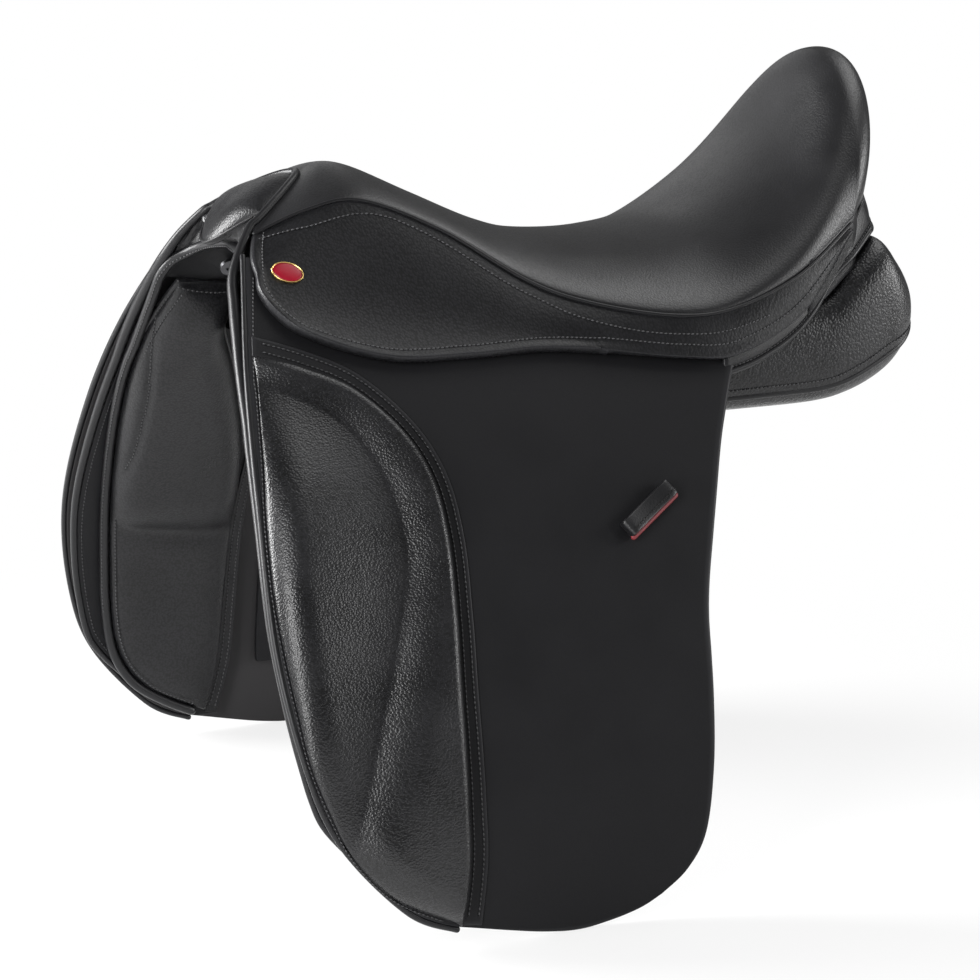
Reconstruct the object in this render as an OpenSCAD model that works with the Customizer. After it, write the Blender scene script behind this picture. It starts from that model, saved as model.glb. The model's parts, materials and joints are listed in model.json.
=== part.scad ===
// Dressage saddle: tree, seat, skirts, flaps with knee pads, panels and girth straps.
// X is across the horse (left side +X), Y runs from pommel to cantle, Z is up.

/* [Seat] */
// Length from the pommel cord to the back of the cantle, mm
seat_length = 396; // [384:1:408]
// Height of the pommel's crown above the panels' bearing plane, mm
pommel_z = 159; // [154:1:164]
// Height of the deepest point of the seat, mm
seat_low_z = 110; // [104:1:116]
// Height of the cantle's top, mm
cantle_z = 222; // [212:1:236]
// Half width of the seat at its widest, mm
seat_half_w = 131; // [124:1:136]
// Half width of the seat at the twist, mm
twist_half_w = 64; // [60:1:68]
// Thickness of the seat leather, mm
cover_t = 2.5; // [1.8:0.1:3.2]
// Thickness of the seat foam, mm
foam_t = 15; // [10:0.5:18]
// Thickness of the tree's moulded shell, mm
tree_t = 9; // [6:0.5:11]
// Radius of the welt between seat and skirt, mm
welt_r = 2; // [1.4:0.1:2.4]

/* [Flap] */
// Half width over the flaps where they hang lowest, mm
barrel_half_w = 250; // [240:1:262]
// Half width over the flaps at the head of the tree, mm
head_half_w = 67; // [62:1:72]
// Height of the flap's lowest edge, mm
flap_low_z = -283; // [-300:1:-272]
// Place of the flap's foremost edge, mm
flap_front_y = -232; // [-240:1:-226]
// Place of the flap's rear edge at half height, mm
flap_rear_y = 52; // [44:1:70]
// Thickness of the flap leather, mm
flap_t = 4.5; // [3.5:0.1:5.5]
// Radius of the roll along the flap's front edge, mm
flap_roll_r = 3.6; // [2.6:0.1:4]
// Height of the line about which the flap lifts, at its rear, mm
flap_line_rear_z = 29; // [24:1:31]
// Drop of that line from front to rear, mm
flap_line_drop = 15; // [12:1:18]
// Height of the knee pad over the flap, mm
pad_h = 15; // [10:0.5:17]
// Free space between flap and sweat flap, mm
flap_space = 9; // [7:0.5:10]
// Thickness of the sweat flap leather, mm
sweat_t = 2.5; // [2:0.1:3]

/* [Skirt] */
// Thickness of the skirt leather, mm
skirt_t = 3.4; // [2.6:0.1:3.6]
// Distance of the skirt's outer face from the flap, mm
skirt_out = 8; // [7.6:0.1:9]
// Radius of the rolled edge of the skirt, mm
skirt_roll_r = 2.9; // [2.2:0.1:3]

/* [Panels] */
// Half width of the channel between the panels, mm
channel_half_w = 34; // [28:1:38]
// Half width over the panels at the rear, mm
panel_half_w = 114; // [108:1:118]
// Thickness of the front panel's padding, mm
front_pad_t = 24; // [16:1:26]
// Radius of the panel pipings, mm
panel_roll_r = 3.2; // [2.4:0.1:3.6]

/* [Stirrup bars] */
// Length of the stirrup bar, mm
bar_length = 62; // [54:1:68]
// Height of the stirrup bar's section, mm
bar_h = 14; // [12:0.5:16]
// Thickness of the stirrup bar's section, mm
bar_t = 7; // [6:0.5:8]
// Space behind the stirrup bar for the leather, mm
bar_space = 9.5; // [8.5:0.5:10]
// Length of the bar's catch, mm
catch_length = 18; // [15:1:20]
// Radius of the catch pin, mm
pin_r = 2; // [1.6:0.1:2.4]
// Running clearance of the catch on its pin, mm
pin_clear = 0.05; // [0.02:0.01:0.08]

/* [Girth straps] */
// Width of a girth strap, mm
strap_w = 25; // [22:1:28]
// Thickness of a girth strap, mm
strap_t = 4; // [3:0.1:4.4]
// Height of a girth strap's lower end, mm
strap_low_z = -232; // [-250:1:-215]
// Radius of the buckle holes, mm
hole_r = 2.5; // [2:0.1:3]
// Pitch of the buckle holes, mm
hole_pitch = 25; // [24:1:28]
// Buckle holes in each strap
hole_count = 5; // [3:1:5]

/* [Fit] */
// Clearance between parts that lie on one another, mm
lay = 0.3; // [0.2:0.05:0.4]

/* [Hidden] */
$fn = 48;
leather = [0.07, 0.07, 0.08];
satin = [0.12, 0.12, 0.13];
steel = [0.7, 0.7, 0.72];
red = [0.7, 0.05, 0.15];
gold = [0.8, 0.65, 0.3];
polymer = [0.2, 0.2, 0.22];
foam = [0.8, 0.78, 0.7];
webbing = [0.75, 0.72, 0.62];

// Curves
function pick(p, i) = p[max(0, min(len(p) - 1, i))];
function flow(a, b, c, d, t) =
    0.5 * (2 * b + (c - a) * t + (2 * a - 5 * b + 4 * c - d) * t * t
    + (3 * b - a - 3 * c + d) * t * t * t);
function curve(p, n) = [
    for (k = [0 : n * (len(p) - 1)])
        let (i = min(floor(k / n), len(p) - 2))
        flow(pick(p, i - 1), p[i], p[i + 1], pick(p, i + 2), k / n - i)
];
function at(p, s) =
    let (i = max(0, min(floor(s), len(p) - 2)))
    flow(pick(p, i - 1), p[i], p[i + 1], pick(p, i + 2), s - i);
function flip(p) = [for (i = [len(p) - 1 : -1 : 0]) p[i]];
function unit(v) = v / norm(v);
function mix(a, b, t) = a + (b - a) * t;
function clamp(v) = max(0, min(1, v));
function ease(v) = let (c = clamp(v)) c * c * (3 - 2 * c);
function heading(p, i) = unit(pick(p, i + 1) - pick(p, i - 1));
function tube(p, r, ref, k = 8) = [
    for (i = [0 : len(p) - 1])
        let (t = heading(p, i), u = unit(cross(t, ref)), v = cross(t, u))
        [for (j = [0 : k - 1]) p[i] + r * (cos(360 * j / k) * u + sin(360 * j / k) * v)]
];

// Closed body over rings that run anticlockwise about their path
module loft(rings) {
    n = len(rings);
    m = len(rings[0]);
    last = (n - 1) * m;
    walls = [
        for (i = [0 : n - 2], j = [0 : m - 1])
            let (a = i * m + j, b = i * m + (j + 1) % m)
            each j < m / 2
                ? [[a, b + m, b], [a, a + m, b + m]]
                : [[a, a + m, b], [b, a + m, b + m]]
    ];
    caps = [
        for (j = [0 : m / 2 - 2])
            let (b = j + 1, c = m - 2 - j, d = m - 1 - j)
            each [
                [j, b, c], [j, c, d],
                [last + j, last + c, last + b], [last + j, last + d, last + c]
            ]
    ];
    polyhedron(points = [for (r = rings) each r], faces = concat(walls, caps), convexity = 8);
}
module along_x(x0, x1) {
    translate([x0, 0, 0])
        rotate([90, 0, 90])
            linear_extrude(x1 - x0)
                children();
}
module along_y(y0, y1) {
    translate([0, y1, 0])
        rotate([90, 0, 0])
            linear_extrude(y1 - y0)
                children();
}
module side(s) {
    if (s > 0)
        children();
    else
        mirror([1, 0, 0])
            children();
}

// Round of the horse's side that the flaps follow
barrel_z = -275;
head_z = 108;
barrel_power = 2.2;
function barrel(z) =
    barrel_half_w - (barrel_half_w - head_half_w)
    * pow(max(0, (z - barrel_z) / (head_z - barrel_z)), barrel_power);
function slope(z) = unit([barrel(z + 1) - barrel(z - 1), 2]);
function skin(z, d) = let (t = slope(z)) [barrel(z), z] + d * [t.y, -t.x];
function on_skin(y, z, d) = let (s = skin(z, d)) [s.x, y, s.y];
function lift(z) = -slope(z).x;
function level_skin(y, z, d) = on_skin(y, z - d * lift(z - d * lift(z)), d);
skin_top = 112;
skin_steps = 22;
function heights(a, b, n) = [for (i = [0 : n]) mix(a, b, i / n)];
module skin_band(d0, d1, z0, z1) {
    zs = heights(z0, z1, skin_steps);
    along_y(-270, 290)
        polygon(concat([for (z = zs) skin(z, d0)], [for (z = flip(zs)) skin(z, d1)]));
}

// Seat surface: a centre line and the welt line, station by station
pommel_y = -134;
cantle_back_y = pommel_y + seat_length;
seat_low_y = 55;
seat_mid = [
    [pommel_y, pommel_z - 6], [pommel_y + 14, pommel_z], [pommel_y + 34, pommel_z - 3],
    [-62, mix(pommel_z, seat_low_z, 0.37)], [-15, mix(pommel_z, seat_low_z, 0.78)],
    [seat_low_y - 30, seat_low_z], [seat_low_y + 30, seat_low_z + 0.5],
    [cantle_back_y - 122, seat_low_z + 15], [cantle_back_y - 67, mix(seat_low_z, cantle_z, 0.51)],
    [cantle_back_y - 36, cantle_z - 11], [cantle_back_y - 19, cantle_z],
    [cantle_back_y - 5, cantle_z - 8], [cantle_back_y, cantle_z - 42], [cantle_back_y, 127]
];
welt_line = [
    [twist_half_w - 2, -187, 125], [twist_half_w - 2, -152, 138], [twist_half_w, -117, 142],
    [twist_half_w + 12, -68, 122], [mix(twist_half_w, seat_half_w, 0.54), -19, 90],
    [mix(twist_half_w, seat_half_w, 0.78), 18, 76], [seat_half_w - 1, 69, 67],
    [seat_half_w, 111, 69], [seat_half_w - 8, 162, 86], [seat_half_w - 27, 208, 112],
    [seat_half_w - 31, 216, 118], [seat_half_w - 34, 222, 121], [seat_half_w - 37, 228, 121],
    [seat_half_w - 39, 232, 119]
];
seat_deep = [
    [pommel_y + 6, 118], [pommel_y + 16, 118], [pommel_y + 34, 116], [-62, 98], [-15, 78],
    [25, 66], [85, 66], [cantle_back_y - 117, 78], [cantle_back_y - 50, 120],
    [cantle_back_y - 31, cantle_z - 46], [cantle_back_y - 22, cantle_z - 32],
    [cantle_back_y - 20, cantle_z - 32], [cantle_back_y - 20, cantle_z - 50],
    [cantle_back_y - 20, 125]
];
foam_fold = [1, 1, 1, 1, 1, 1, 1, 1, 0.95, 0.8, 0.65, 0.6, 0.6, 0.6];
seat_end = len(seat_mid) - 1;
function seat_front(s) = 1 - ease(s / 3.5);
function fall_y(s, a) = mix(1 - cos(a), pow(sin(a), 1.5), seat_front(s));
function fall_z(s, a) = mix(1 - cos(a), pow(sin(a), 1.8), seat_front(s));
function seat_edge(s) = at(welt_line, s) + [0, 0, welt_r + 5 * lay];
function seat_top(s, u) =
    let (a = 90 * abs(u), c = at(seat_mid, s), w = seat_edge(s))
    [sign(u) * w.x * sin(a), mix(c.x, w.y, fall_y(s, a)), mix(c.y, w.z, fall_z(s, a))];
function seat_core(s, u) =
    let (a = 90 * abs(u), c = at(seat_deep, s), w = seat_edge(s))
    [
        sign(u) * 0.55 * w.x * sin(a),
        mix(c.x, w.y - 6 * ease((s - 7) / 3), fall_y(s, a)),
        mix(c.y, w.z - 14, fall_z(s, a))
    ];
function seat_at(s, u, d) =
    let (p = seat_top(s, u))
    p + d * unit(seat_core(s, u) - p);
function fold(s) = at(foam_fold, s);
function seat_ring(s, us, d0, d1) =
    concat([for (u = us) seat_at(s, u, d0)], [for (u = flip(us)) seat_at(s, u, d1)]);
function steps(a, b, n) = [for (i = [0 : n]) mix(a, b, i / n)];
seat_ss = steps(0, seat_end, 26);
seat_us = steps(-1, 1, 12);
foam_us = steps(-5 / 6, 5 / 6, 10);
foam_bed = cover_t + 1.4 * lay;
foam_low = foam_bed + foam_t;
web_t = 1.6;
tree_top = foam_low + web_t + 2 * lay;
tree_low = tree_top + tree_t;

module seat_cover() {
    color(satin)
        loft([for (s = seat_ss) seat_ring(s, seat_us, 0, cover_t)]);
}
module seat_foam() {
    color(foam)
        loft([
            for (s = concat([0.1], steps(0.5, seat_end - 0.5, 24), [seat_end - 0.1]))
                seat_ring(s, foam_us, foam_bed, foam_bed + foam_t * fold(s))
        ]);
}
rail_in = 1 / 3;
rail_out = 5 / 6;
tree_end = 8;
module tree_part(s0, s1, u0, u1) {
    loft([
        for (s = steps(s0, s1, 2 * (s1 - s0)))
            seat_ring(s, steps(u0, u1, 6 * (u1 - u0)), tree_top, tree_low)
    ]);
}
module tree() {
    color(polymer)
        union() {
            tree_part(0.5, tree_end, rail_in, rail_out);
            tree_part(0.5, tree_end, -rail_out, -rail_in);
            tree_part(0.5, 2, -rail_in, rail_in);
            tree_part(7, tree_end, -rail_in, rail_in);
        }
}
module seat_webbing() {
    color(webbing)
        for (s = [2.5, 3.5, 4.5, 5.5])
            loft([
                for (t = [s, s + 0.5])
                    seat_ring(t, steps(-0.5, 0.5, 6), foam_low + lay, foam_low + lay + web_t)
            ]);
}

// Welt between the seat and the skirt
module welt(s) {
    side(s)
        loft(tube([for (t = steps(0, 9, 27)) at(welt_line, t)], welt_r, [0.8, 0, 0.6], 6));
}
module seat_welts() {
    color(satin) {
        welt(1);
        welt(-1);
    }
}

// Skirt: welt, fold line and lower edge
fold_front = on_skin(-199, 92, skirt_out);
fold_rear = on_skin(18, 47, skirt_out);
function fold_at(y) = mix(fold_front, fold_rear, (y - fold_front.y) / (fold_rear.y - fold_front.y));
function hem(y, z) = on_skin(y, z, skirt_out);
skirt_hem = [
    hem(-199, 90), hem(-178, 66), hem(-126, 48), hem(-72, 46), hem(-22, 47), hem(16, 44),
    hem(70, 37), [seat_half_w + 8, 112, 42], [seat_half_w - 6, 166, 64],
    [seat_half_w - 27, 213, 104]
];
function skirt_top(s) = at(welt_line, s) + [welt_r * 0.7 + lay, 0, -welt_r - 1.6 * lay];
function skirt_fold(s) = let (h = at(skirt_hem, s)) s < 5 ? fold_at(h.y) : h;
function row_normal(a, b, c, d) = unit(cross(b - a, d - c));
function skirt_slab(s, t0, ts, swell, under) =
    let (
        f = [for (q = [s - 0.02, s, s + 0.02]) [t0 < 1 ? skirt_top(q) : skirt_fold(q),
            t0 < 1 ? skirt_fold(q) : at(skirt_hem, q)]],
        out = [for (t = ts) mix(f[1][0], f[1][1], t)],
        nrm = row_normal(f[1][0], f[1][1], mix(f[0][0], f[0][1], 0.5), mix(f[2][0], f[2][1], 0.5))
    )
    concat(
        [for (i = [0 : len(ts) - 1]) out[i] + swell[i] * nrm],
        flip([for (i = [0 : len(ts) - 1]) out[i] - (skirt_t + under[i]) * nrm])
    );
roll_swell = skirt_roll_r - skirt_t / 2;
bearing = skirt_out - skirt_t - 2 * lay;
module skirt(s) {
    color(leather)
        side(s)
            loft([
                for (t = concat(steps(0, 4.8, 20), steps(5, 9, 16)))
                    let (e = ease((t - 4.8) * 2), swell = roll_swell * e)
                    skirt_slab(t, 0, [0, 0.4, 0.8, 0.9, 0.992], [0, 0, 0, swell, 0],
                        [0, 0, 0, swell, bearing * (1 - e)])
            ]);
}
module skirt_lobe(s) {
    color(leather)
        side(s)
            loft([
                for (t = steps(0.12, 4.82, 20))
                    skirt_slab(t, 1, [0.03, 0.4, 0.75, 0.88, 1], [0, 0, 0, roll_swell, 0], [0, 0, 0, roll_swell, 0])
            ]);
}

// Flap outline, from the top of the front edge round to the top of the rear edge
flap_front = [
    [-196, skin_top], [flap_front_y + 16, 49], [flap_front_y + 4, -18], [flap_front_y - 2, -95],
    [flap_front_y + 8, -163], [flap_front_y + 28, -211], [flap_front_y + 69, flap_low_z + 26],
    [-132, flap_low_z + 11]
];
flap_back = [
    [-132, flap_low_z + 11], [-78, flap_low_z + 1], [-38, flap_low_z + 1], [2, flap_low_z + 17],
    [flap_rear_y - 22, flap_low_z + 51], [flap_rear_y - 6, -155], [flap_rear_y, -108],
    [flap_rear_y + 12, -70], [flap_rear_y + 32, -8], [flap_rear_y + 52, 36]
];
function inset(p, d) = [
    for (i = [0 : len(p) - 1])
        let (t = heading(p, i))
        p[i] + d * [-t.y, t.x]
];
flap_front_fine = curve(flap_front, 5);
flap_outline = concat(inset(flap_front_fine, flap_roll_r + lay), curve(flap_back, 4));
flap_line_front_y = -207;
flap_line_rear_y = 73;
function flap_line(y) =
    flap_line_rear_z + flap_line_drop * (flap_line_rear_y - y) / (flap_line_rear_y - flap_line_front_y);
module above_flap_line() {
    polygon([[-280, flap_line(-280) + lay / 2], [200, flap_line(200) + lay / 2], [200, 200], [-280, 200]]);
}
module below_flap_line() {
    polygon([[-280, flap_line(-280) - lay / 2], [200, flap_line(200) - lay / 2], [200, -400], [-280, -400]]);
}
bar_window_y0 = -142;
bar_window_y1 = -34;
module flap(s) {
    color(leather)
        side(s)
            intersection() {
                skin_band(0, -flap_t, -300, 60);
                along_x(60, 330)
                    intersection() {
                        polygon(flap_outline);
                        below_flap_line();
                    }
            }
}
module flap_top(s) {
    color(leather)
        side(s)
            intersection() {
                skin_band(0, -flap_t, 10, skin_top);
                along_x(40, 330)
                    difference() {
                        intersection() {
                            polygon(flap_outline);
                            above_flap_line();
                        }
                        translate([bar_window_y0, 60])
                            square([bar_window_y1 - bar_window_y0, 90]);
                    }
            }
}
roll_d = -flap_t / 2;
function edge_path(low, high, d) = [
    for (p = flap_front_fine)
        if (p.y > low && p.y < high)
            level_skin(p.x, p.y, d)
];
front_line_z = flap_line(flap_front_y + 12);
module flap_roll(s) {
    color(satin)
        side(s)
            loft(tube(edge_path(-400, front_line_z - 2 * flap_roll_r, roll_d),
                flap_roll_r, [1, 0, 0], 6));
}
module top_roll(s) {
    color(satin)
        side(s)
            loft(tube(edge_path(front_line_z, skin_top - 2, roll_d),
                flap_roll_r, [1, 0, 0], 6));
}

// Knee pad: front edge, rear edge and a raised crescent round a hollow
pad_front = [
    [flap_front_y + 18, 41], [flap_front_y + 10, 4], [flap_front_y + 4, -44], [flap_front_y + 4, -95],
    [flap_front_y + 13, -160], [flap_front_y + 36, -214], [-160, flap_low_z + 32], [-138, flap_low_z + 17]
];
pad_rear = [
    [-168, 38], [-137, 21], [-118, -18], [-114, -62], [-119, -110], [-123, -180], [-126, -235],
    [-130, flap_low_z + 16]
];
function pad_height(a, b) =
    pow(clamp(sin(180 * clamp(a))), 0.35) * pow(clamp(sin(180 * mix(0.02, 0.985, b))), 0.3)
    * (1 - 0.55 * exp(-pow((a - 0.42) / 0.2, 2)) * sin(180 * clamp(b * 1.05)));
function pad_ring(b, as) =
    let (f = at(pad_front, 7 * b), r = at(pad_rear, 7 * b))
    concat(
        [for (a = flip(as)) let (p = mix(f, r, a)) on_skin(p.x, p.y, lay + 1 + (pad_h - 1) * pad_height(a, b))],
        [for (a = as) let (p = mix(f, r, a)) on_skin(p.x, p.y, lay)]
    );
module knee_pad(s) {
    color(leather)
        side(s)
            loft([for (b = steps(0, 1, 22)) pad_ring(b, steps(0, 1, 12))]);
}

// Keeper for the end of the stirrup leather
keeper_y = 24;
keeper_z = -42;
keeper_turn = 28;
keeper_length = 44;
keeper_width = 11;
keeper_t = 2;
keeper_space = 4.8;
module on_flap(s, y, z) {
    t = slope(z);
    side(s)
        translate(on_skin(y, z, 0))
            multmatrix([[0, t.x, t.y, 0], [1, 0, 0, 0], [0, t.y, -t.x, 0], [0, 0, 0, 1]])
                children();
}
module keeper(s) {
    color(leather)
        on_flap(s, keeper_y, keeper_z)
            rotate([0, 0, keeper_turn])
                translate([-keeper_length / 2, -keeper_width / 2, lay])
                    difference() {
                        cube([keeper_length, keeper_width, keeper_space + 2 * keeper_t]);
                        translate([keeper_t, -1, keeper_t])
                            cube([keeper_length - 2 * keeper_t, keeper_width + 2, keeper_space]);
                    }
}
module keeper_lining(s) {
    color(red)
        on_flap(s, keeper_y, keeper_z)
            rotate([0, 0, keeper_turn])
                translate([-keeper_length / 2, -keeper_width / 2 - 1.6 - lay, lay])
                    cube([keeper_length, 1.6, keeper_t + keeper_space * 0.1]);
}

// Sweat flap, with the front panel's padding on its inner face
sweat_d = -flap_t - flap_space;
sweat_in = sweat_d - sweat_t;
sweat_rear = [
    [-116, -266], [-106, -225], [-103, -180], [-102, -115], [-98, -50], [-96, 0], [-106, 32], [-146, 48]
];
sweat_outline = concat(
    [for (p = inset(flap_front_fine, panel_roll_r + lay)) if (p.y > flap_low_z + 16 && p.y < 72) p],
    curve(sweat_rear, 3)
);
module sweat_flap(s) {
    color(leather)
        side(s)
            intersection() {
                skin_band(sweat_d, sweat_in, -300, 90);
                along_x(30, 330)
                    polygon(sweat_outline);
            }
}
module sweat_roll(s) {
    color(satin)
        side(s)
            loft(tube(edge_path(flap_low_z + 24, 84, (sweat_d + sweat_in) / 2),
                panel_roll_r, [1, 0, 0], 6));
}
front_panel_d = sweat_in - lay;
front_panel_fore = [
    [-196, 66], [-205, 44], [-208, 10], [-206, -55], [-201, -130], [-193, -200], [-172, -236], [-134, -258]
];
front_panel_rear = [
    [-151, 66], [-150, 50], [-132, 15], [-114, -45], [-112, -112], [-113, -178], [-116, -226], [-124, -258]
];
function front_panel_ring(b, as) =
    let (f = at(front_panel_fore, 7 * b), r = at(front_panel_rear, 7 * b))
    concat(
        [for (a = flip(as)) let (p = mix(f, r, a)) on_skin(p.x, p.y, front_panel_d)],
        [
            for (a = as)
                let (p = mix(f, r, a), h = pow(clamp(sin(180 * a)), 0.4))
                on_skin(p.x, p.y, front_panel_d - 5 - (front_pad_t - 5) * h * (1 - 0.45 * b))
        ]
    );
module front_panel(s) {
    color(leather)
        side(s)
            loft([for (b = steps(0, 1, 16)) front_panel_ring(b, steps(0, 1, 8))]);
}

// Panels along the horse's back
panel_stations = [
    [-146, 40, 92, 20, 77.2], [-100, 36, 98, 12, 70], [-40, 36, 104, 4, 66], [20, 36, 108, 0, 62],
    [80, channel_half_w, panel_half_w, 0, 62], [140, channel_half_w, panel_half_w, 0, 68],
    [190, channel_half_w, panel_half_w, 1, 69], [228, 36, panel_half_w - 2, 8, 91],
    [252, 40, panel_half_w - 7, 24, 98], [264, 48, panel_half_w - 18, 40, 94], [270, 60, panel_half_w - 34, 56, 84]
];
function panel_point(p, a) =
    let (sx = sin(a), sz = cos(a), round_x = 0.55, round_z = 0.62)
    [
        mix(p[1], p[2], 0.5 + 0.5 * sign(sx) * pow(abs(sx), round_x)), p[0],
        mix(p[3], p[4], 0.5 + 0.5 * sign(sz) * pow(abs(sz), round_z))
    ];
function panel_ring(t) =
    let (p = at(panel_stations, t))
    [for (j = [0 : 15]) panel_point(p, 22.5 * j)];
module panel(s) {
    color(leather)
        side(s)
            loft([for (t = steps(0, 10, 26)) panel_ring(t)]);
}
function panel_seam(t) = panel_point(at(panel_stations, t), 118);
module panel_roll(s) {
    color(satin)
        side(s)
            loft(tube([
                for (t = steps(3.4, 9.2, 24))
                    let (p = at(panel_stations, t), c = [(p[1] + p[2]) / 2, p[0], (p[3] + p[4]) / 2], e = panel_seam(t))
                    e + (panel_roll_r + 3) * unit(e - c)
            ], panel_roll_r, [0.7, 0, 0.7], 6));
}

// Front arch: piping, lining and studs
arch_front = [
    [0, -190, 110], [26, -192, 104], [48, -197, 92], [64, -201, 78]
];
module panel_front_roll() {
    left = concat(
        curve(arch_front, 2),
        [
            for (p = inset(curve(front_panel_fore, 2), -panel_roll_r - 2 * lay))
                if (p.y < 64)
                    on_skin(p.x, p.y, front_panel_d - 4)
        ]
    );
    path = concat([for (p = flip(left)) if (p.x > 0.1) [-p.x, p.y, p.z]], left);
    color(satin)
        loft(tube(path, panel_roll_r, [0, 1, 0], 6));
}
arch_t = 7;
function arch_pt(v, y, d) =
    let (a = 90 * v, r = [plate_x - plate_t - 0.8 - d, plate_top - 66 - plate_t - 0.7 - d])
    [r.x * sin(a), y, 66 + r.y * cos(a)];
module panel_arch() {
    color(leather)
        loft([
            for (v = steps(-0.85, 0.85, 14))
                concat(
                    [for (y = [-150, -165, -180]) arch_pt(v, y, 0)],
                    [for (y = [-180, -165, -150]) arch_pt(v, y, arch_t)]
                )
        ]);
}
stud_v = 0.62;
module panel_studs() {
    color(steel)
        for (s = [1, -1])
            side(s)
                translate(arch_pt(stud_v, -168, arch_t + 3 * lay))
                    rotate([0, 90 * stud_v - 180, 0])
                        difference() {
                            cylinder(r = 6, h = 2.5);
                            translate([0, 0, 1.2])
                                cylinder(r = 2.5, h = 3);
                        }
}

// Steel arch of the tree with its side legs
plate_t = 3.7;
plate_x = 57.7;
plate_top = 122;
module gullet_plate() {
    color(steel)
        union() {
            along_y(-160, -130)
                difference() {
                    intersection() {
                        translate([0, plate_top - plate_x])
                            circle(r = plate_x);
                        translate([-plate_x, 84])
                            square([2 * plate_x, 100]);
                    }
                    translate([0, plate_top - plate_x])
                        circle(r = plate_x - plate_t);
                }
            for (x = [plate_t - plate_x, plate_x])
                translate([x - plate_t, -160, bar_z - bar_h / 2])
                    cube([plate_t, bar_end_y + 160, bar_h + 14]);
        }
}
module tree_head() {
    color(polymer)
        loft([
            for (s = [0.5, 1, 1.5])
                let (r = [for (u = [-1 / 6, 0, 1 / 6]) seat_at(s, u, tree_low + lay)])
                concat(r, [for (p = flip(r)) [p.x, p.y, plate_top + lay]])
        ]);
}

// Stirrup bars with their catches
bar_z = 84;
bar_plate_t = 3;
bar_plate_x = plate_x + lay;
bar_x = bar_plate_x + bar_plate_t + bar_space;
bar_front_y = -134;
bar_end_y = bar_front_y + bar_length;
lug_t = bar_t / 2 - lay / 2;
pin_y = bar_end_y - bar_h / 2;
module stirrup_bar(s) {
    color(steel)
        side(s)
            union() {
                difference() {
                    translate([bar_plate_x, bar_front_y, bar_z - bar_h / 2])
                        cube([bar_plate_t, bar_length, bar_h + 14]);
                    for (y = rivet_ys)
                        translate([bar_plate_x - 1, y, rivet_z])
                            rotate([0, 90, 0])
                                cylinder(r = rivet_r + lay, h = bar_plate_t + 2);
                }
                translate([bar_plate_x, bar_front_y, bar_z - bar_h / 2])
                    cube([bar_space + bar_plate_t + bar_t, 9, bar_h]);
                translate([bar_x, bar_front_y, bar_z - bar_h / 2])
                    cube([bar_t, bar_length - bar_h - 1, bar_h]);
                translate([bar_x, bar_front_y, bar_z - bar_h / 2])
                    cube([lug_t, bar_length - bar_h / 2, bar_h]);
                translate([bar_x, pin_y, bar_z])
                    rotate([0, 90, 0])
                        cylinder(d = bar_h, h = lug_t);
                translate([bar_x, pin_y, bar_z])
                    rotate([0, 90, 0])
                        cylinder(r = pin_r, h = bar_t);
            }
}
module bar_catch(s) {
    color(steel)
        side(s)
            difference() {
                union() {
                    translate([bar_x + lug_t + lay, pin_y, bar_z])
                        rotate([0, 90, 0])
                            cylinder(d = bar_h, h = bar_t - lug_t - lay);
                    translate([bar_x + lug_t + lay, pin_y, bar_z - bar_h / 2])
                        cube([bar_t - lug_t - lay, catch_length, bar_h]);
                    translate([bar_x, pin_y + bar_h / 2 + 1, bar_z - bar_h / 2])
                        cube([bar_t, catch_length - bar_h / 2 - 1, bar_h]);
                }
                translate([bar_x - 1, pin_y, bar_z])
                    rotate([0, 90, 0])
                        cylinder(r = pin_r + pin_clear, h = bar_t + 2);
            }
}
rivet_r = 3;
rivet_z = bar_z + bar_h / 2 + 7;
rivet_ys = [bar_front_y + 14, bar_end_y - 14];
module bar_rivets() {
    color(steel)
        for (s = [1, -1], y = rivet_ys)
            side(s)
                translate([bar_plate_x + lay / 3, y, rivet_z])
                    rotate([0, 90, 0])
                        union() {
                            cylinder(r = rivet_r, h = bar_plate_t + 1);
                            translate([0, 0, bar_plate_t])
                                cylinder(r = 5, h = 1.6);
                        }
}

// Badges on the front of the skirt
module badge_spot() {
    p = mix(skirt_top(0.55), skirt_fold(0.55), 0.52);
    q = mix(skirt_top(0.6), skirt_fold(0.6), 0.52);
    w = unit(skirt_fold(0.55) - skirt_top(0.55));
    n = unit(cross(w, unit(q - p)));
    v = unit(cross(n, w));
    multmatrix([[v.x, -w.x, n.x, p.x], [v.y, -w.y, n.y, p.y], [v.z, -w.z, n.z, p.z], [0, 0, 0, 1]])
        children();
}
function oval(a, b) = [for (i = [0 : 35]) [a * cos(10 * i), b * sin(10 * i)]];
module badges() {
    color(gold)
        for (s = [1, -1])
            side(s)
                badge_spot()
                    translate([0, 0, 0.8])
                        difference() {
                            linear_extrude(2.4)
                                polygon(oval(10, 7));
                            translate([0, 0, 1])
                                linear_extrude(3)
                                    polygon(oval(8.8, 5.8));
                        }
}
module badge_enamels() {
    color(red)
        for (s = [1, -1])
            side(s)
                badge_spot()
                    translate([0, 0, 1.85])
                        linear_extrude(1)
                            polygon(oval(8.7, 5.7));
}

// Pommel facing between the seat's front edge and the arch
facing_t = 5;
function facing_row(v) =
    let (
        a = 90 * abs(v), top = seat_top(0, v) + [0, -4.2, -1.5],
        low = [sign(v) * 62 * sin(a), -188 - 14 * pow(sin(a), 2), mix(116.6, 94, pow(sin(a), 2))]
    )
    [for (t = steps(0, 1, 5)) mix(top, low, t) + [0, -6, 7] * sin(180 * t) * cos(a * 0.8)];
module pommel_facing() {
    color(satin)
        loft([
            for (v = steps(-0.94, 0.94, 16))
                let (r = facing_row(v))
                concat(r, [for (p = flip(r)) p + [-0.04 * p.x, 0.5, -4.6]])
        ]);
}

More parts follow.
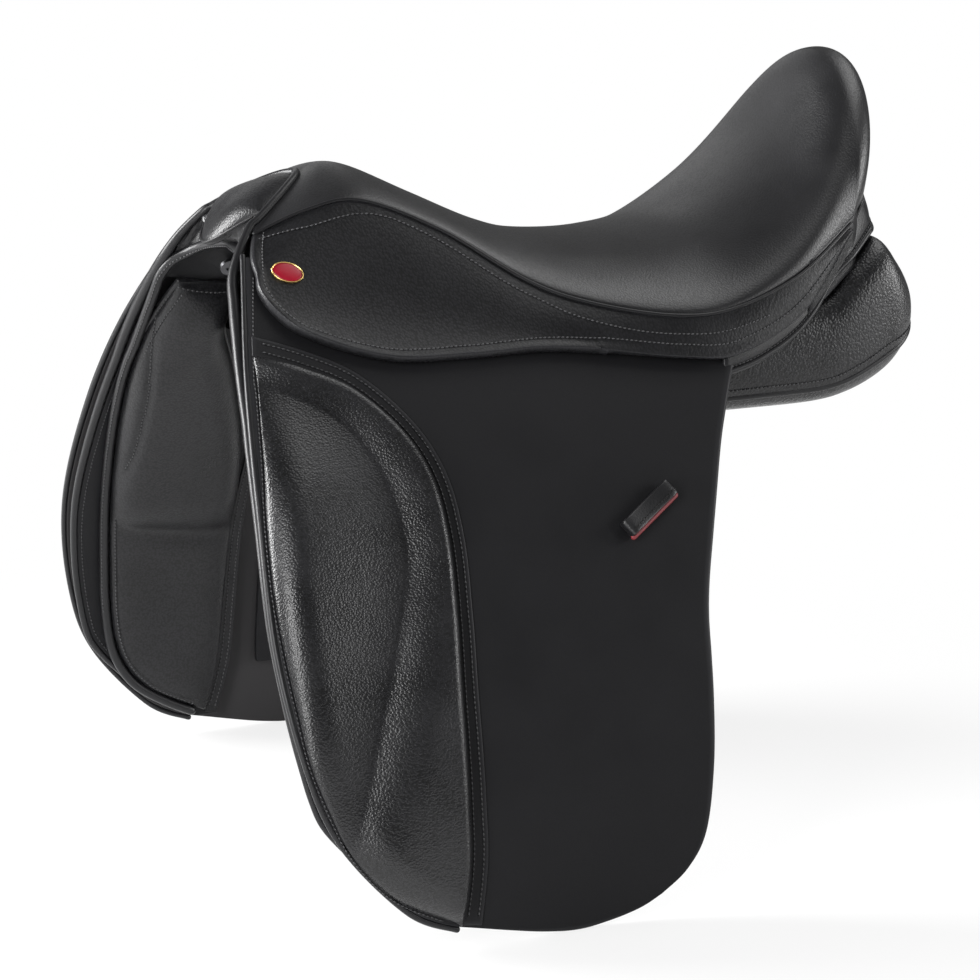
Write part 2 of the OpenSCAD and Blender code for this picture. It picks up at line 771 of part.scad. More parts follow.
// Facing from the cantle's lower edge forward under the skirt's hem
facing_h = 15;
function facing_top() = concat(
    [for (t = [7, 7.5, 8, 8.4, 8.8]) at(skirt_hem, t) + [-skirt_t - roll_swell - lay, 0, 1]],
    [for (u = [0.99, 0.9, 0.75, 0.6, 0.4, 0.2, 0]) seat_top(seat_end, u) - [0, 0, 2.4]]
);
module cantle_facing() {
    left = curve(facing_top(), 2);
    path = concat(left, [for (p = flip(left)) if (p.x > 0.1) [-p.x, p.y, p.z]]);
    color(satin)
        loft([
            for (i = [0 : len(path) - 1])
                let (p = path[i], t = heading(path, i), n = unit(cross(t, [0, 0, 1])), h = facing_h)
                [p, p - [0, 0, h], p - 4 * n - [0, 0, h], p - 4 * n]
        ]);
}

// Girth webs and straps
girth_web_t = 2;
strap_d = -flap_t - girth_web_t - 2 * lay;
strap_top_z = 54;
front_strap_y = -70;
rear_strap_y = -6;
strap_bends = round((strap_top_z - strap_low_z) / hole_pitch);
strap_zs = heights(strap_low_z, strap_top_z, strap_bends);
web_d = -flap_t - lay;
module strap(s, y) {
    color(leather)
        side(s)
            difference() {
                intersection() {
                    along_y(-270, 290)
                        polygon(concat(
                            [for (z = strap_zs) skin(z, strap_d)],
                            [for (z = flip(strap_zs)) skin(z, strap_d - strap_t)]
                        ));
                    along_x(60, 330)
                        polygon([
                            [y - strap_w / 2, 60], [y - strap_w / 2, strap_low_z + 8], [y - strap_w / 4, -300],
                            [y + strap_w / 4, -300], [y + strap_w / 2, strap_low_z + 8], [y + strap_w / 2, 60]
                        ]);
                }
                for (i = [1 : hole_count])
                    strap_hole(y, i);
            }
}
module strap_hole(y, i) {
    a = skin(strap_zs[i], strap_d);
    b = skin(strap_zs[i + 1], strap_d);
    m = (a + b) / 2;
    translate([m.x, y, m.y])
        rotate([0, atan2(b.y - a.y, a.x - b.x) , 0])
            translate([0, 0, -strap_t - 3])
                cylinder(r = hole_r, h = strap_t + 6);
}
module girth_web(s) {
    color(webbing)
        side(s)
            intersection() {
                along_y(front_strap_y - strap_w / 2, rear_strap_y + strap_w / 2)
                    polygon(concat(
                        [for (z = heights(20, 86, 6)) skin(z, web_d)],
                        [for (z = flip(heights(20, 86, 6))) skin(z, web_d - girth_web_t)]
                    ));
                along_x(40, 200)
                    translate([-100, strap_top_z - 14])
                        square([200, 22]);
            }
}

tree();
tree_head();
gullet_plate();
stirrup_bar(1);  // left_stirrup_bar
stirrup_bar(-1);  // right_stirrup_bar
bar_catch(1);  // left_bar_catch
bar_catch(-1);  // right_bar_catch
bar_rivets();
seat_webbing();
seat_foam();
seat_cover();
seat_welts();
skirt(1);  // left_skirt
skirt(-1);  // right_skirt
skirt_lobe(1);  // left_skirt_lobe
skirt_lobe(-1);  // right_skirt_lobe
badges();
badge_enamels();
flap_top(1);  // left_flap_top
flap_top(-1);  // right_flap_top
top_roll(1);  // left_top_roll
top_roll(-1);  // right_top_roll
flap(1);  // left_flap
flap(-1);  // right_flap
flap_roll(1);  // left_flap_roll
flap_roll(-1);  // right_flap_roll
knee_pad(1);  // left_knee_pad
knee_pad(-1);  // right_knee_pad
keeper(1);  // left_keeper
keeper(-1);  // right_keeper
keeper_lining(1);  // left_keeper_lining
keeper_lining(-1);  // right_keeper_lining
sweat_flap(1);  // left_sweat_flap
sweat_flap(-1);  // right_sweat_flap
sweat_roll(1);  // left_sweat_roll
sweat_roll(-1);  // right_sweat_roll
front_panel(1);  // left_front_panel
front_panel(-1);  // right_front_panel
panel(1);  // left_panel
panel(-1);  // right_panel
panel_roll(1);  // left_panel_roll
panel_roll(-1);  // right_panel_roll
panel_front_roll();
panel_arch();
panel_studs();
pommel_facing();
cantle_facing();
girth_web(1);  // left_girth_web
girth_web(-1);  // right_girth_web
strap(1, front_strap_y);  // left_front_strap
strap(1, rear_strap_y);  // left_rear_strap
strap(-1, front_strap_y);  // right_front_strap
strap(-1, rear_strap_y);  // right_rear_strap
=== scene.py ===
# %% [markdown]
# # A dressage saddle
# The saddle is black leather over a moulded tree: a deep padded seat, skirts over the stirrup bars, long
# flaps with knee pads, and stuffed panels on the horse's back. The CAD model gives every place, so this
# file works in its millimetres, with +X to the horse's left, +Y to the rear and +Z up, and only turns them
# into metres where a mesh is made.

import json
import math

import bmesh
import bpy
import numpy as np
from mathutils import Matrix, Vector


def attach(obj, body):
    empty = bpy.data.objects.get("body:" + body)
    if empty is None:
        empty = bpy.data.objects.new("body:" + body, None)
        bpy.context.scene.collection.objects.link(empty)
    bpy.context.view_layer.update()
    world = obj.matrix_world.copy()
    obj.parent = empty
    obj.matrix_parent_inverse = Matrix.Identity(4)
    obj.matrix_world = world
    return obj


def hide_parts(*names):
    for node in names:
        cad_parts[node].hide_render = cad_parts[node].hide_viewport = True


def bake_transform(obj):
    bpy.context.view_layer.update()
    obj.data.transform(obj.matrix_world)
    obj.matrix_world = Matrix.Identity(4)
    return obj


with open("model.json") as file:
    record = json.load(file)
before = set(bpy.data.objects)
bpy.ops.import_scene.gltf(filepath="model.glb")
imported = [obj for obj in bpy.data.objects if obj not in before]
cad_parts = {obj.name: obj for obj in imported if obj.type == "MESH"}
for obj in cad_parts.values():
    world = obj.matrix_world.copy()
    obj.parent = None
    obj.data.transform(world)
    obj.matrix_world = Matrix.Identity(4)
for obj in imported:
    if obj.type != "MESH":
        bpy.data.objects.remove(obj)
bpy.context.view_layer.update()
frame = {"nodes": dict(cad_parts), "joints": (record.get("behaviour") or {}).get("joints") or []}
joints = {j["name"]: j for j in frame["joints"]}
MM = 0.001
SIDES = {"left": 1, "right": -1}

# %% [markdown]
# ## Camera
# The photograph looks at the near side from slightly in front and above, through a long lens. The camera
# comes first.

# %% Camera
VIEW_TURN, VIEW_RISE = math.radians(66), math.radians(12)
VIEW_DISTANCE, VIEW_LENS, SENSOR = 2.1, 115.714, 36
AIM = Vector((0, 0, -0.065))
backward = Vector(
    (
        math.sin(VIEW_TURN) * math.cos(VIEW_RISE),
        -math.cos(VIEW_TURN) * math.cos(VIEW_RISE),
        math.sin(VIEW_RISE),
    )
)
camera = bpy.data.objects.new("camera", bpy.data.cameras.new("camera"))
camera.data.lens, camera.data.sensor_width = VIEW_LENS, SENSOR
camera.location = AIM + VIEW_DISTANCE * backward
camera.rotation_euler = backward.to_track_quat("Z", "Y").to_euler()
scene = bpy.context.scene
scene.collection.objects.link(camera)
scene.camera = camera
scene.view_settings.view_transform = "Standard"
print("camera at", [round(v, 3) for v in camera.location])

# %% [markdown]
# ## Studio lamps
# Black leather shows its form only through reflections, so the light is a set of large soft panels, each for
# one form: two above for the seat, two in front for the knee pads and rolls, a weak one on the far side for
# the cantle's rim, and two behind for the panels.

# %% Studio lamps
SOFT_PANELS = {  # place in m, size in m, power in W
    "overhead": ((0.25, 0.75, 1.8), (1.2, 1.2), 8),
    "seat_sheen": ((-0.45, 1.15, 1.55), (1.0, 1.0), 7),
    "front_far": ((-0.8, -1.7, 0.6), (0.8, 1.2), 86),
    "front_near": ((1.2, -1.5, 0.45), (0.6, 1.3), 34),
    "far_side": ((-1.9, 0.2, 0.9), (1.2, 1.0), 2),
    "rear_near": ((0.75, 2.1, 0.5), (0.5, 1.2), 22),
    "side_strip": ((1.65, 1.75, 0.45), (0.4, 1.2), 9),
}
for name, (place, size, power) in SOFT_PANELS.items():
    light = bpy.data.lights.new(name, "AREA")
    light.shape = "RECTANGLE"
    light.size, light.size_y = size
    light.energy = power
    lamp = bpy.data.objects.new(name, light)
    lamp.location = place
    lamp.rotation_euler = (Vector(place) - AIM).to_track_quat("Z", "Y").to_euler()
    scene.collection.objects.link(lamp)
print("studio:", len(SOFT_PANELS), "soft panels")

# %% [markdown]
# ## Nodes
# Materials and the sewing tree are built from nodes. One helper adds a node, sets it up and links or fills its
# inputs, and another does arithmetic with their values.


# %% Node helpers
def wire(tree, kind, inputs=None, **settings):
    """Adds a node, sets it up, and links or fills its inputs."""
    node = tree.nodes.new(kind)
    for key, value in settings.items():
        setattr(node, key, value)
    for key, value in (inputs or {}).items():
        if isinstance(value, bpy.types.NodeSocket):
            tree.links.new(value, node.inputs[key])
        else:
            node.inputs[key].default_value = value
    return node


def reckon(tree, operation, *values, clamp=False):
    """The result of a math node on up to three values or sockets."""
    return wire(tree, "ShaderNodeMath", dict(enumerate(values)), operation=operation, use_clamp=clamp).outputs[0]


print("node helpers ready")

# %% [markdown]
# ## White room
# The floor and the world are white to the camera and a little to mirrors, but give hardly any light
# themselves. Near the saddle the floor is partly a plain matte one, so it keeps the shadow.

# %% White room
MIRROR_SHARE, ROOM_LIGHT = 0.12, 0.03
NEAR_WHITE, SHADOW_REACH = 0.75, (0.35, 0.85)
WHITE, FLOOR_GREY = (1, 1, 1, 1), (0.9, 0.9, 0.9, 1)
FLOOR_Z, FLOOR_REACH = -0.2835, 40


def seen_share(tree):
    """How much of the white room a ray sees: all of it for camera and glass rays, a share for mirrors."""
    rays = wire(tree, "ShaderNodeLightPath").outputs
    seen = reckon(tree, "MAXIMUM", rays["Is Camera Ray"], rays["Is Transmission Ray"])
    return reckon(tree, "MULTIPLY_ADD", rays["Is Glossy Ray"], MIRROR_SHARE, seen, clamp=True)


floor_paint = bpy.data.materials.new("floor_paint")
floor_paint.use_nodes = True
tree = floor_paint.node_tree
tree.nodes.remove(tree.nodes["Principled BSDF"])
matte = wire(tree, "ShaderNodeBsdfDiffuse", {"Color": FLOOR_GREY}).outputs[0]
place = wire(tree, "ShaderNodeTexCoord").outputs["Object"]
away = wire(tree, "ShaderNodeVectorMath", {0: place}, operation="LENGTH").outputs["Value"]
fade = wire(
    tree,
    "ShaderNodeMapRange",
    {"Value": away, "From Min": SHADOW_REACH[0], "From Max": SHADOW_REACH[1], "To Min": NEAR_WHITE},
    interpolation_type="SMOOTHSTEP",
).outputs[0]
white = wire(tree, "ShaderNodeEmission", {"Color": WHITE}).outputs[0]
share = reckon(tree, "MULTIPLY", seen_share(tree), fade)
seen_floor = wire(tree, "ShaderNodeMixShader", {0: share, 1: matte, 2: white}).outputs[0]
tree.links.new(seen_floor, tree.nodes["Material Output"].inputs["Surface"])
floor_mesh = bpy.data.meshes.new("floor")
floor_corners = [(x * FLOOR_REACH, y * FLOOR_REACH, FLOOR_Z) for x, y in ((-1, -1), (1, -1), (1, 1), (-1, 1))]
floor_mesh.from_pydata(floor_corners, [], [(0, 1, 2, 3)])
floor_mesh.materials.append(floor_paint)
floor = bpy.data.objects.new("floor", floor_mesh)
scene.collection.objects.link(floor)

world = bpy.data.worlds.new("studio_room")
world.use_nodes = True
scene.world = world
tree = world.node_tree
room = tree.nodes["Background"].inputs
room["Color"].default_value = WHITE
level = wire(tree, "ShaderNodeMapRange", {"Value": seen_share(tree), "To Min": ROOM_LIGHT, "To Max": 1.0})
tree.links.new(level.outputs[0], room["Strength"])
print("white room, light", ROOM_LIGHT)

# %% [markdown]
# ## Leather
# One hide takes many finishes. The seat is smooth and satin, the flap is plain and matte, and the knee pads
# and panels are pebbled. All of them are the same recipe at different sizes: Voronoi cells make the pebbles,
# with painted shade in their grooves and a painted highlight on their crowns, both stronger where the grain is
# deep, a finer noise the pores, and a slow noise the patches where the colour and the polish vary. An attribute
# named wear, painted by the mesh code, lightens and polishes rims; below zero it is the hide's dull flesh side.
# The patterns read Object coordinates, so they need no unwrapping and have their true size in millimetres.

# %% Leather recipe
FLESH_SIDE = (0.03, 0.029, 0.03, 1)
SWAY, SWAY_SIZE, PORE_SIZE, PATCH_SCALE = 0.0007, 0.45, 2.6, 22.0
PEBBLE_EDGE, PATCH_BAND, POLISH_SPAN, CROWN_POLISH = 0.5, (0.3, 0.7), 0.05, -0.1
# Painted shade in the pebbles' grooves and a painted highlight on their crowns.
GROOVE_SHADE, DEEPEST_SHADE, CROWN_HIGHLIGHT = 5, 0.7, (1.1, 0.9)
CROWN_HIGHLIGHT_SHARE, SHADE_LESS = 0.8, 0.4
WORN_PALE, WORN_SHARE, WORN_ROUGH = (2.2, 0.004), 0.6, 0.3


def new_paint(name):
    """A new material, its node tree and the inputs of its shader."""
    paint = bpy.data.materials.new(name)
    paint.use_nodes = True
    tree = paint.node_tree
    return paint, tree, tree.nodes["Principled BSDF"].inputs


def noise(tree, where, scale, detail):
    return wire(tree, "ShaderNodeTexNoise", {"Vector": where, "Scale": scale, "Detail": detail}).outputs


def blended(tree, factor, a, b, kind="RGBA"):
    return wire(tree, "ShaderNodeMix", {"Factor": factor, "A": a, "B": b}, data_type=kind).outputs["Result"]


def raised(tree, height, depth):
    """A normal from a height, depth mm deep."""
    return wire(tree, "ShaderNodeBump", {"Height": height, "Strength": 1.0, "Distance": depth * MM}).outputs[0]


def tinted(colour, share, more=0.0):
    return [c * share + more for c in colour] + [1]


def leather(name, colour, grain, depth, rough, shine, pores=0.3, long=(1, 1, 1)):
    """Leather whose pebbles are grain mm wide and depth mm deep."""
    paint, tree, shader = new_paint(name)
    place = wire(tree, "ShaderNodeTexCoord").outputs["Object"]
    pull = wire(tree, "ShaderNodeMapping", {"Vector": place, "Scale": long}).outputs[0]
    cell = 1 / (grain * MM)
    sway = noise(tree, pull, cell * SWAY_SIZE, 2)["Color"]
    swayed = blended(tree, SWAY * grain, pull, sway, "VECTOR")
    pebble = wire(tree, "ShaderNodeTexVoronoi", {"Vector": swayed, "Scale": cell}, feature="F1").outputs["Distance"]
    away = reckon(tree, "POWER", pebble, 2.0)
    crown = wire(tree, "ShaderNodeMapRange", {"Value": away, "From Min": PEBBLE_EDGE, "From Max": 0.0}).outputs[0]
    pore = noise(tree, pull, cell * PORE_SIZE, 4)["Fac"]
    patch = noise(tree, place, PATCH_SCALE, 3)["Fac"]
    wear = wire(tree, "ShaderNodeAttribute", attribute_name="wear").outputs["Fac"]
    worn = reckon(tree, "MULTIPLY", wear, WORN_SHARE, clamp=True)
    flesh = reckon(tree, "MULTIPLY", wear, -1.0, clamp=True)

    # Painted light: the grooves get painted shade and the crowns a painted highlight, both stronger where the grain
    # is deep; the slow patches are the hide's own tone.
    groove_shade = min(DEEPEST_SHADE, GROOVE_SHADE * depth)
    dark, pale = tinted(colour, 1 - groove_shade), tinted(colour, CROWN_HIGHLIGHT[0] + CROWN_HIGHLIGHT[1] * groove_shade)
    shade = reckon(tree, "MULTIPLY_ADD", crown, CROWN_HIGHLIGHT_SHARE, patch)
    dye_and_painted_light = blended(tree, reckon(tree, "SUBTRACT", shade, SHADE_LESS, clamp=True), dark, pale)
    rubbed = blended(tree, worn, dye_and_painted_light, tinted(colour, *WORN_PALE))
    tree.links.new(blended(tree, flesh, rubbed, FLESH_SIDE), shader["Base Color"])

    low, high = rough - POLISH_SPAN, rough + POLISH_SPAN
    band = {"From Min": PATCH_BAND[0], "From Max": PATCH_BAND[1], "To Min": low, "To Max": high}
    polish = wire(tree, "ShaderNodeMapRange", {"Value": patch, **band}).outputs[0]
    finish = reckon(tree, "MULTIPLY_ADD", crown, CROWN_POLISH, polish)
    tree.links.new(blended(tree, worn, finish, WORN_ROUGH, "FLOAT"), shader["Roughness"])
    tree.links.new(raised(tree, reckon(tree, "MULTIPLY_ADD", pore, pores, crown), depth), shader["Normal"])
    shader["Specular IOR Level"].default_value = shine
    return paint


print("leather recipe ready")

# %% [markdown]
# ## The leathers
# The numbers are the pebbles' width and depth in millimetres and the roughness. Shine is the strength of the
# gloss, pores the share of the fine noise, and long scales the pattern along each axis.

# %% The leathers
INK, LINING_IN_SHADE = (0.0092, 0.0092, 0.0102), (0.0045, 0.0045, 0.005)
FINE_PORES = 0.06
seat_leather = leather("seat_leather", INK, 1.3, 0.06, 0.42, shine=0.5, long=(1, 1, 0.8))
skirt_leather = leather("skirt_leather", INK, 1.6, 0.085, 0.44, shine=0.24, long=(1, 1, 0.7))
flap_leather = leather("flap_leather", INK, 0.7, 0.012, 0.54, shine=0.14)
grain_leather = leather("grain_leather", INK, 1.5, 0.135, 0.36, shine=0.48, pores=FINE_PORES, long=(1, 1, 1.2))
panel_leather = leather("panel_leather", INK, 1.8, 0.165, 0.36, shine=0.46, pores=FINE_PORES)
front_leather = leather("front_leather", INK, 1.6, 0.1, 0.4, shine=0.28, pores=FINE_PORES)
roll_leather = leather("roll_leather", INK, 0.9, 0.03, 0.4, shine=0.3)
# Half as dark as the other leather: painted shade for the lining under the arch.
shaded_lining_leather = leather("shaded_lining_leather", LINING_IN_SHADE, 0.7, 0.012, 0.6, shine=0.08)
print("leathers: seat, skirt, flap, grain, panel, front, roll, lining")

# %% [markdown]
# ## Metal, thread and the rest
# Brushed steel has fine scratches along one direction, made by stretching a noise. The thread is waxed
# linen, the webbing a plain weave from two crossed waves, and the tree a moulded plastic with a spark-eroded
# texture. The badge has red enamel in a gilt rim.

# %% Metal, thread and the rest
TINT_SPREAD, GLOSS_SPREAD, GLOSSIEST = 0.12, 0.1, 0.02


def plain_finish(name, colour, rough, metal=0.0, scale=400.0, stretch=(1, 1, 1), depth=0.02):
    """A finish with noise in its colour, its gloss and its bump."""
    paint, tree, shader = new_paint(name)
    place = wire(tree, "ShaderNodeTexCoord").outputs["Object"]
    pull = wire(tree, "ShaderNodeMapping", {"Vector": place, "Scale": stretch}).outputs[0]
    grit = noise(tree, pull, scale, 4)["Fac"]
    pale = [min(1, c) for c in tinted(colour, 1 + TINT_SPREAD)]
    tree.links.new(blended(tree, grit, tinted(colour, 1 - TINT_SPREAD), pale), shader["Base Color"])
    low, high = max(GLOSSIEST, rough - GLOSS_SPREAD), rough + GLOSS_SPREAD
    gloss = wire(tree, "ShaderNodeMapRange", {"Value": grit, "To Min": low, "To Max": high}).outputs[0]
    tree.links.new(gloss, shader["Roughness"])
    tree.links.new(raised(tree, grit, depth), shader["Normal"])
    shader["Metallic"].default_value = metal
    return paint


SCRATCH = (1, 0.05, 1)
steel = plain_finish("brushed_steel", (0.55, 0.55, 0.57), 0.3, metal=1.0, scale=900, stretch=SCRATCH, depth=0.01)
gunmetal = plain_finish("gunmetal", (0.09, 0.09, 0.095), 0.36, metal=1.0, scale=900, depth=0.01)
thread = plain_finish("linen_thread", (0.066, 0.066, 0.07), 0.55, scale=3000, depth=0.05)
dark_thread = plain_finish("dark_thread", (0.044, 0.044, 0.047), 0.55, scale=3000, depth=0.05)
# Near-black: painted shade inside the needle holes.
needle_hole_shade = plain_finish("needle_hole_shade", (0.003, 0.003, 0.003), 0.8)
polymer = plain_finish("tree_polymer", (0.05, 0.05, 0.055), 0.6, scale=1200, depth=0.06)
red_leather = plain_finish("red_leather", (0.2, 0.02, 0.026), 0.5, scale=900, depth=0.05)
enamel = plain_finish("red_enamel", (0.27, 0.003, 0.016), 0.34, scale=150, depth=0.004)
gilt = plain_finish("gilt_rim", (0.72, 0.5, 0.18), 0.3, metal=1.0, scale=500, depth=0.004)
WAVE_TO_PITCH, YARN_SWAY, YARN_H = 0.314, 0.6, 0.3


def woven(name, colour, pitch):
    """A plain weave: two crossed waves of yarn, pitch mm apart."""
    paint = plain_finish(name, colour, 0.8, scale=1500, depth=0.05)
    tree = paint.node_tree
    place = wire(tree, "ShaderNodeTexCoord").outputs["Object"]
    wave = {"Vector": place, "Scale": WAVE_TO_PITCH / (pitch * MM), "Distortion": YARN_SWAY}
    yarns = [wire(tree, "ShaderNodeTexWave", wave, bands_direction=way).outputs["Fac"] for way in ("Y", "Z")]
    bump = raised(tree, reckon(tree, "MULTIPLY", *yarns), YARN_H)
    tree.links.new(bump, tree.nodes["Principled BSDF"].inputs["Normal"])
    return paint


webbing = woven("linen_webbing", (0.5, 0.47, 0.4), 1.4)
print("finishes:", len(bpy.data.materials))

# %% [markdown]
# ## Curves
# A smooth curve through named points is Catmull-Rom, the same as in the CAD model, so the visual parts land
# where their solids are. The other helpers mix values, ease them in and read them off tables.


# %% Curve helpers
def flow(points, s):
    """Points at the places s on a smooth curve through points."""
    p = np.asarray(points, float)
    s = np.asarray(s, float)
    i = np.clip(np.floor(s).astype(int), 0, len(p) - 2)
    t = (s - i)[..., None]
    a, b = p[np.maximum(i - 1, 0)], p[i]
    c, d = p[i + 1], p[np.minimum(i + 2, len(p) - 1)]
    return 0.5 * (2 * b + (c - a) * t + (2 * a - 5 * b + 4 * c - d) * t**2 + (3 * b - a - 3 * c + d) * t**3)


def mix(a, b, t):
    return a + (b - a) * t


def between(fore, aft, share):
    """A grid of points from one line to another, at shares of the way."""
    return mix(fore[:, None], aft[:, None], share[None, :, None])


def ease(v):
    c = np.clip(v, 0, 1)
    return c * c * (3 - 2 * c)


def ramp(v, start, run):
    """Rises softly from 0 at start to 1 after a run."""
    return ease((v - start) / run)


def swell_up(share):
    """A quarter round from 0 to 1."""
    return np.sqrt(np.clip(1 - (1 - np.clip(share, 0, 1)) ** 2, 0, 1))


def crowded(count):
    """Shares from 0 to 1 that lie closer together at both ends."""
    return (1 - np.cos(np.linspace(0, np.pi, count))) / 2


def read_off(table, at):
    """Values at the places at, from a table of places and values."""
    return np.interp(at, *np.transpose(table))


print("curve helpers ready")

# %% [markdown]
# ## Lines
# A line is a row of points. These helpers space its points evenly, measure it, move it aside, find distances
# to it and mirror it.

# %% Line helpers
CURVE_STEPS = 40


def unit(v):
    return v / np.maximum(np.linalg.norm(v, axis=-1, keepdims=True), 1e-9)


def even_curve(points, count):
    """count points at even distances along the smooth curve through points."""
    fine = flow(points, np.linspace(0, len(points) - 1, CURVE_STEPS * len(points)))
    run = np.concatenate([[0], np.cumsum(np.linalg.norm(np.diff(fine, axis=0), axis=1))])
    goal = np.linspace(0, run[-1], count)
    return np.stack([np.interp(goal, run, fine[:, k]) for k in range(fine.shape[1])], -1)


def length_of(line):
    return float(np.linalg.norm(np.diff(line, axis=0), axis=1).sum())


def shift_aside(line, by):
    """A flat line moved to its left side."""
    ahead = unit(np.gradient(line, axis=0))
    return line + by * np.stack([-ahead[:, 1], ahead[:, 0]], -1)


def nearest(points, line):
    """Distance from each point to a polyline, signed positive on its left."""
    a, b = line[:-1], line[1:]
    run = b - a
    q = points[..., None, :]
    t = np.clip(((q - a) * run).sum(-1) / (run**2).sum(-1), 0, 1)
    away = q - (a + t[..., None] * run)
    far = np.linalg.norm(away, axis=-1)
    side = run[:, 0] * away[..., 1] - run[:, 1] * away[..., 0]
    return np.sign(np.take_along_axis(side, far.argmin(-1)[..., None], -1)[..., 0]) * far.min(-1)


def normals_of(grid):
    """Unit normals of a grid of points."""
    return unit(np.cross(np.gradient(grid, axis=0), np.gradient(grid, axis=1)))


def sided(points, s):
    """Points of the left side, or mirrored to the right."""
    return np.asarray(points, float) * [s, 1, 1]


def across_middle(half):
    """A line from the right side to the left, from its left half that starts in the middle."""
    return np.concatenate([sided(half[:0:-1], -1), half])


print("line helpers ready")

# %% [markdown]
# ## Meshes
# Each leather part is a surface with a thickness, and a few small builders make nearly all of them. Every mesh
# is welded, closed and smooth, and made of plain points in its own place.

# %% Mesh builder
WELD = 1e-6


def add_piece(name, mesh):
    piece = bpy.data.objects.new(name, mesh)
    scene.collection.objects.link(piece)
    return piece


def make_piece(name, points, faces, material, wear=None):
    """A closed, welded, smooth mesh with its normals outwards, placed in the mesh itself."""
    mesh = bpy.data.meshes.new(name)
    mesh.from_pydata((np.asarray(points).reshape(-1, 3) * MM).tolist(), [], faces)
    if wear is not None:
        paint = mesh.attributes.new("wear", "FLOAT", "POINT")
        paint.data.foreach_set("value", np.ravel(wear).astype(np.float32))
    bm = bmesh.new()
    bm.from_mesh(mesh)
    bmesh.ops.remove_doubles(bm, verts=bm.verts, dist=WELD)
    bmesh.ops.dissolve_degenerate(bm, edges=bm.edges, dist=WELD)
    bmesh.ops.recalc_face_normals(bm, faces=bm.faces)
    bm.to_mesh(mesh)
    bm.free()
    mesh.materials.append(material)
    mesh.shade_smooth()
    return add_piece(name, mesh)


def grid_faces(rows, cols, wrap=False, start=0):
    """The quads between the points of a grid, row by row."""
    quads = []
    for low in range(start, start + (rows - 1) * cols, cols):
        high = low + cols
        for j in range(cols if wrap else cols - 1):
            k = (j + 1) % cols
            quads.append((low + j, low + k, high + k, high + j))
    return quads


print("mesh builder ready")

# %% [markdown]
# ## Pillows
# A pillow takes an outer and an inner grid of points and closes them with a rounded rim. Points are given for
# the left side, and the builder mirrors them for the right.


# %% Pillow builder
def quarter(rim):
    """The angles of a quarter round in rim steps."""
    return np.radians(90 * np.arange(1, rim + 1) / rim)


def round_rim(middle, half, axis, rim):
    """Adds rows at both ends of a slab along an axis, which bring its two faces together in an arc."""
    middle, half = np.moveaxis(middle, axis, 0), np.moveaxis(half, axis, 0)
    turn = quarter(rim)[:, None, None]
    ends = []
    for edge, inside in ((0, 1), (-1, -2)):
        out = unit(middle[edge] - middle[inside])
        out = unit(out - (out * unit(half[edge])).sum(-1, keepdims=True) * unit(half[edge]))
        deep = np.linalg.norm(half[edge], axis=-1, keepdims=True)
        ends.append((middle[edge] + deep * np.sin(turn) * out, half[edge] * np.cos(turn)))
    middle = np.concatenate([ends[0][0][::-1], middle, ends[1][0]])
    half = np.concatenate([ends[0][1][::-1], half, ends[1][1]])
    return np.moveaxis(middle, 0, axis), np.moveaxis(half, 0, axis)


def pillow(name, outer, inner, material, s=1, rim=4, worn=1, flesh=0):
    """A closed slab between two grids of points, with a rounded, worn rim and maybe a flesh side within."""
    outer, inner = sided(outer, s), sided(inner, s)
    middle, half = (outer + inner) / 2, (outer - inner) / 2
    for axis in (0, 1):
        middle, half = round_rim(middle, half, axis, rim)
    rows, cols = middle.shape[:2]
    wear = np.full((rows, cols), float(worn))
    wear[rim + 1 : -rim - 1, rim + 1 : -rim - 1] = 0
    faces = grid_faces(rows, cols) + grid_faces(rows, cols, start=rows * cols)
    return make_piece(name, [middle + half, middle - half], faces, material, [wear, -flesh + 0 * wear])


print("pillow builder ready")

# %% [markdown]
# ## Tubes
# A tube sweeps a circle along a path and rounds its ends. Its frame turns with the path as little as possible,
# so the circle doesn't twist.

# %% Tube builder
START_HINT = (0.13, 0.27, 0.95)


def sweep_frame(path):
    """Two unit vectors square to a path at each point, turning with it as little as possible."""
    ahead = unit(np.gradient(path, axis=0))
    first = np.cross(ahead[0], START_HINT)
    sides = [first / np.linalg.norm(first)]
    for t in ahead[1:]:
        kept = sides[-1] - t * (sides[-1] @ t)
        sides.append(kept / np.linalg.norm(kept))
    across = np.array(sides)
    return ahead, across, np.cross(ahead, across)


def tube(name, path, radius, material, s=1, around=14, rim=4):
    """A round roll along a path, with rounded ends."""
    path = sided(path, s)
    thick = np.broadcast_to(np.asarray(radius, float), len(path))
    ahead, across, over = sweep_frame(path)
    turn = quarter(rim)
    head = path[0] - thick[0] * np.sin(turn[::-1])[:, None] * ahead[0]
    tail = path[-1] + thick[-1] * np.sin(turn)[:, None] * ahead[-1]
    where = np.concatenate([head, path, tail])
    wide = np.concatenate([thick[0] * np.cos(turn[::-1]), thick, thick[-1] * np.cos(turn)])
    pad = (rim, rim), (0, 0)
    across, over = np.pad(across, pad, "edge"), np.pad(over, pad, "edge")
    spin = np.linspace(0, 2 * np.pi, around, endpoint=False)[None, :, None]
    ring = np.cos(spin) * across[:, None] + np.sin(spin) * over[:, None]
    points = where[:, None] + wide[:, None, None] * ring
    return make_piece(name, points, grid_faces(len(where), around, wrap=True), material)


print("tube builder ready")

# %% [markdown]
# ## CAD shapes that stay
# Hidden parts keep their CAD shapes. Hard ones only get a material. Of soft ones a copy is made, whose edges
# are welded and rounded.

# %% CAD shapes
CAD_WELD, FLAT_ANGLE, SHARP_ANGLE, ROUNDNESS = 1e-5, 0.01, 0.6, 0.6


def coat(mesh, material):
    mesh.materials.clear()
    mesh.materials.append(material)


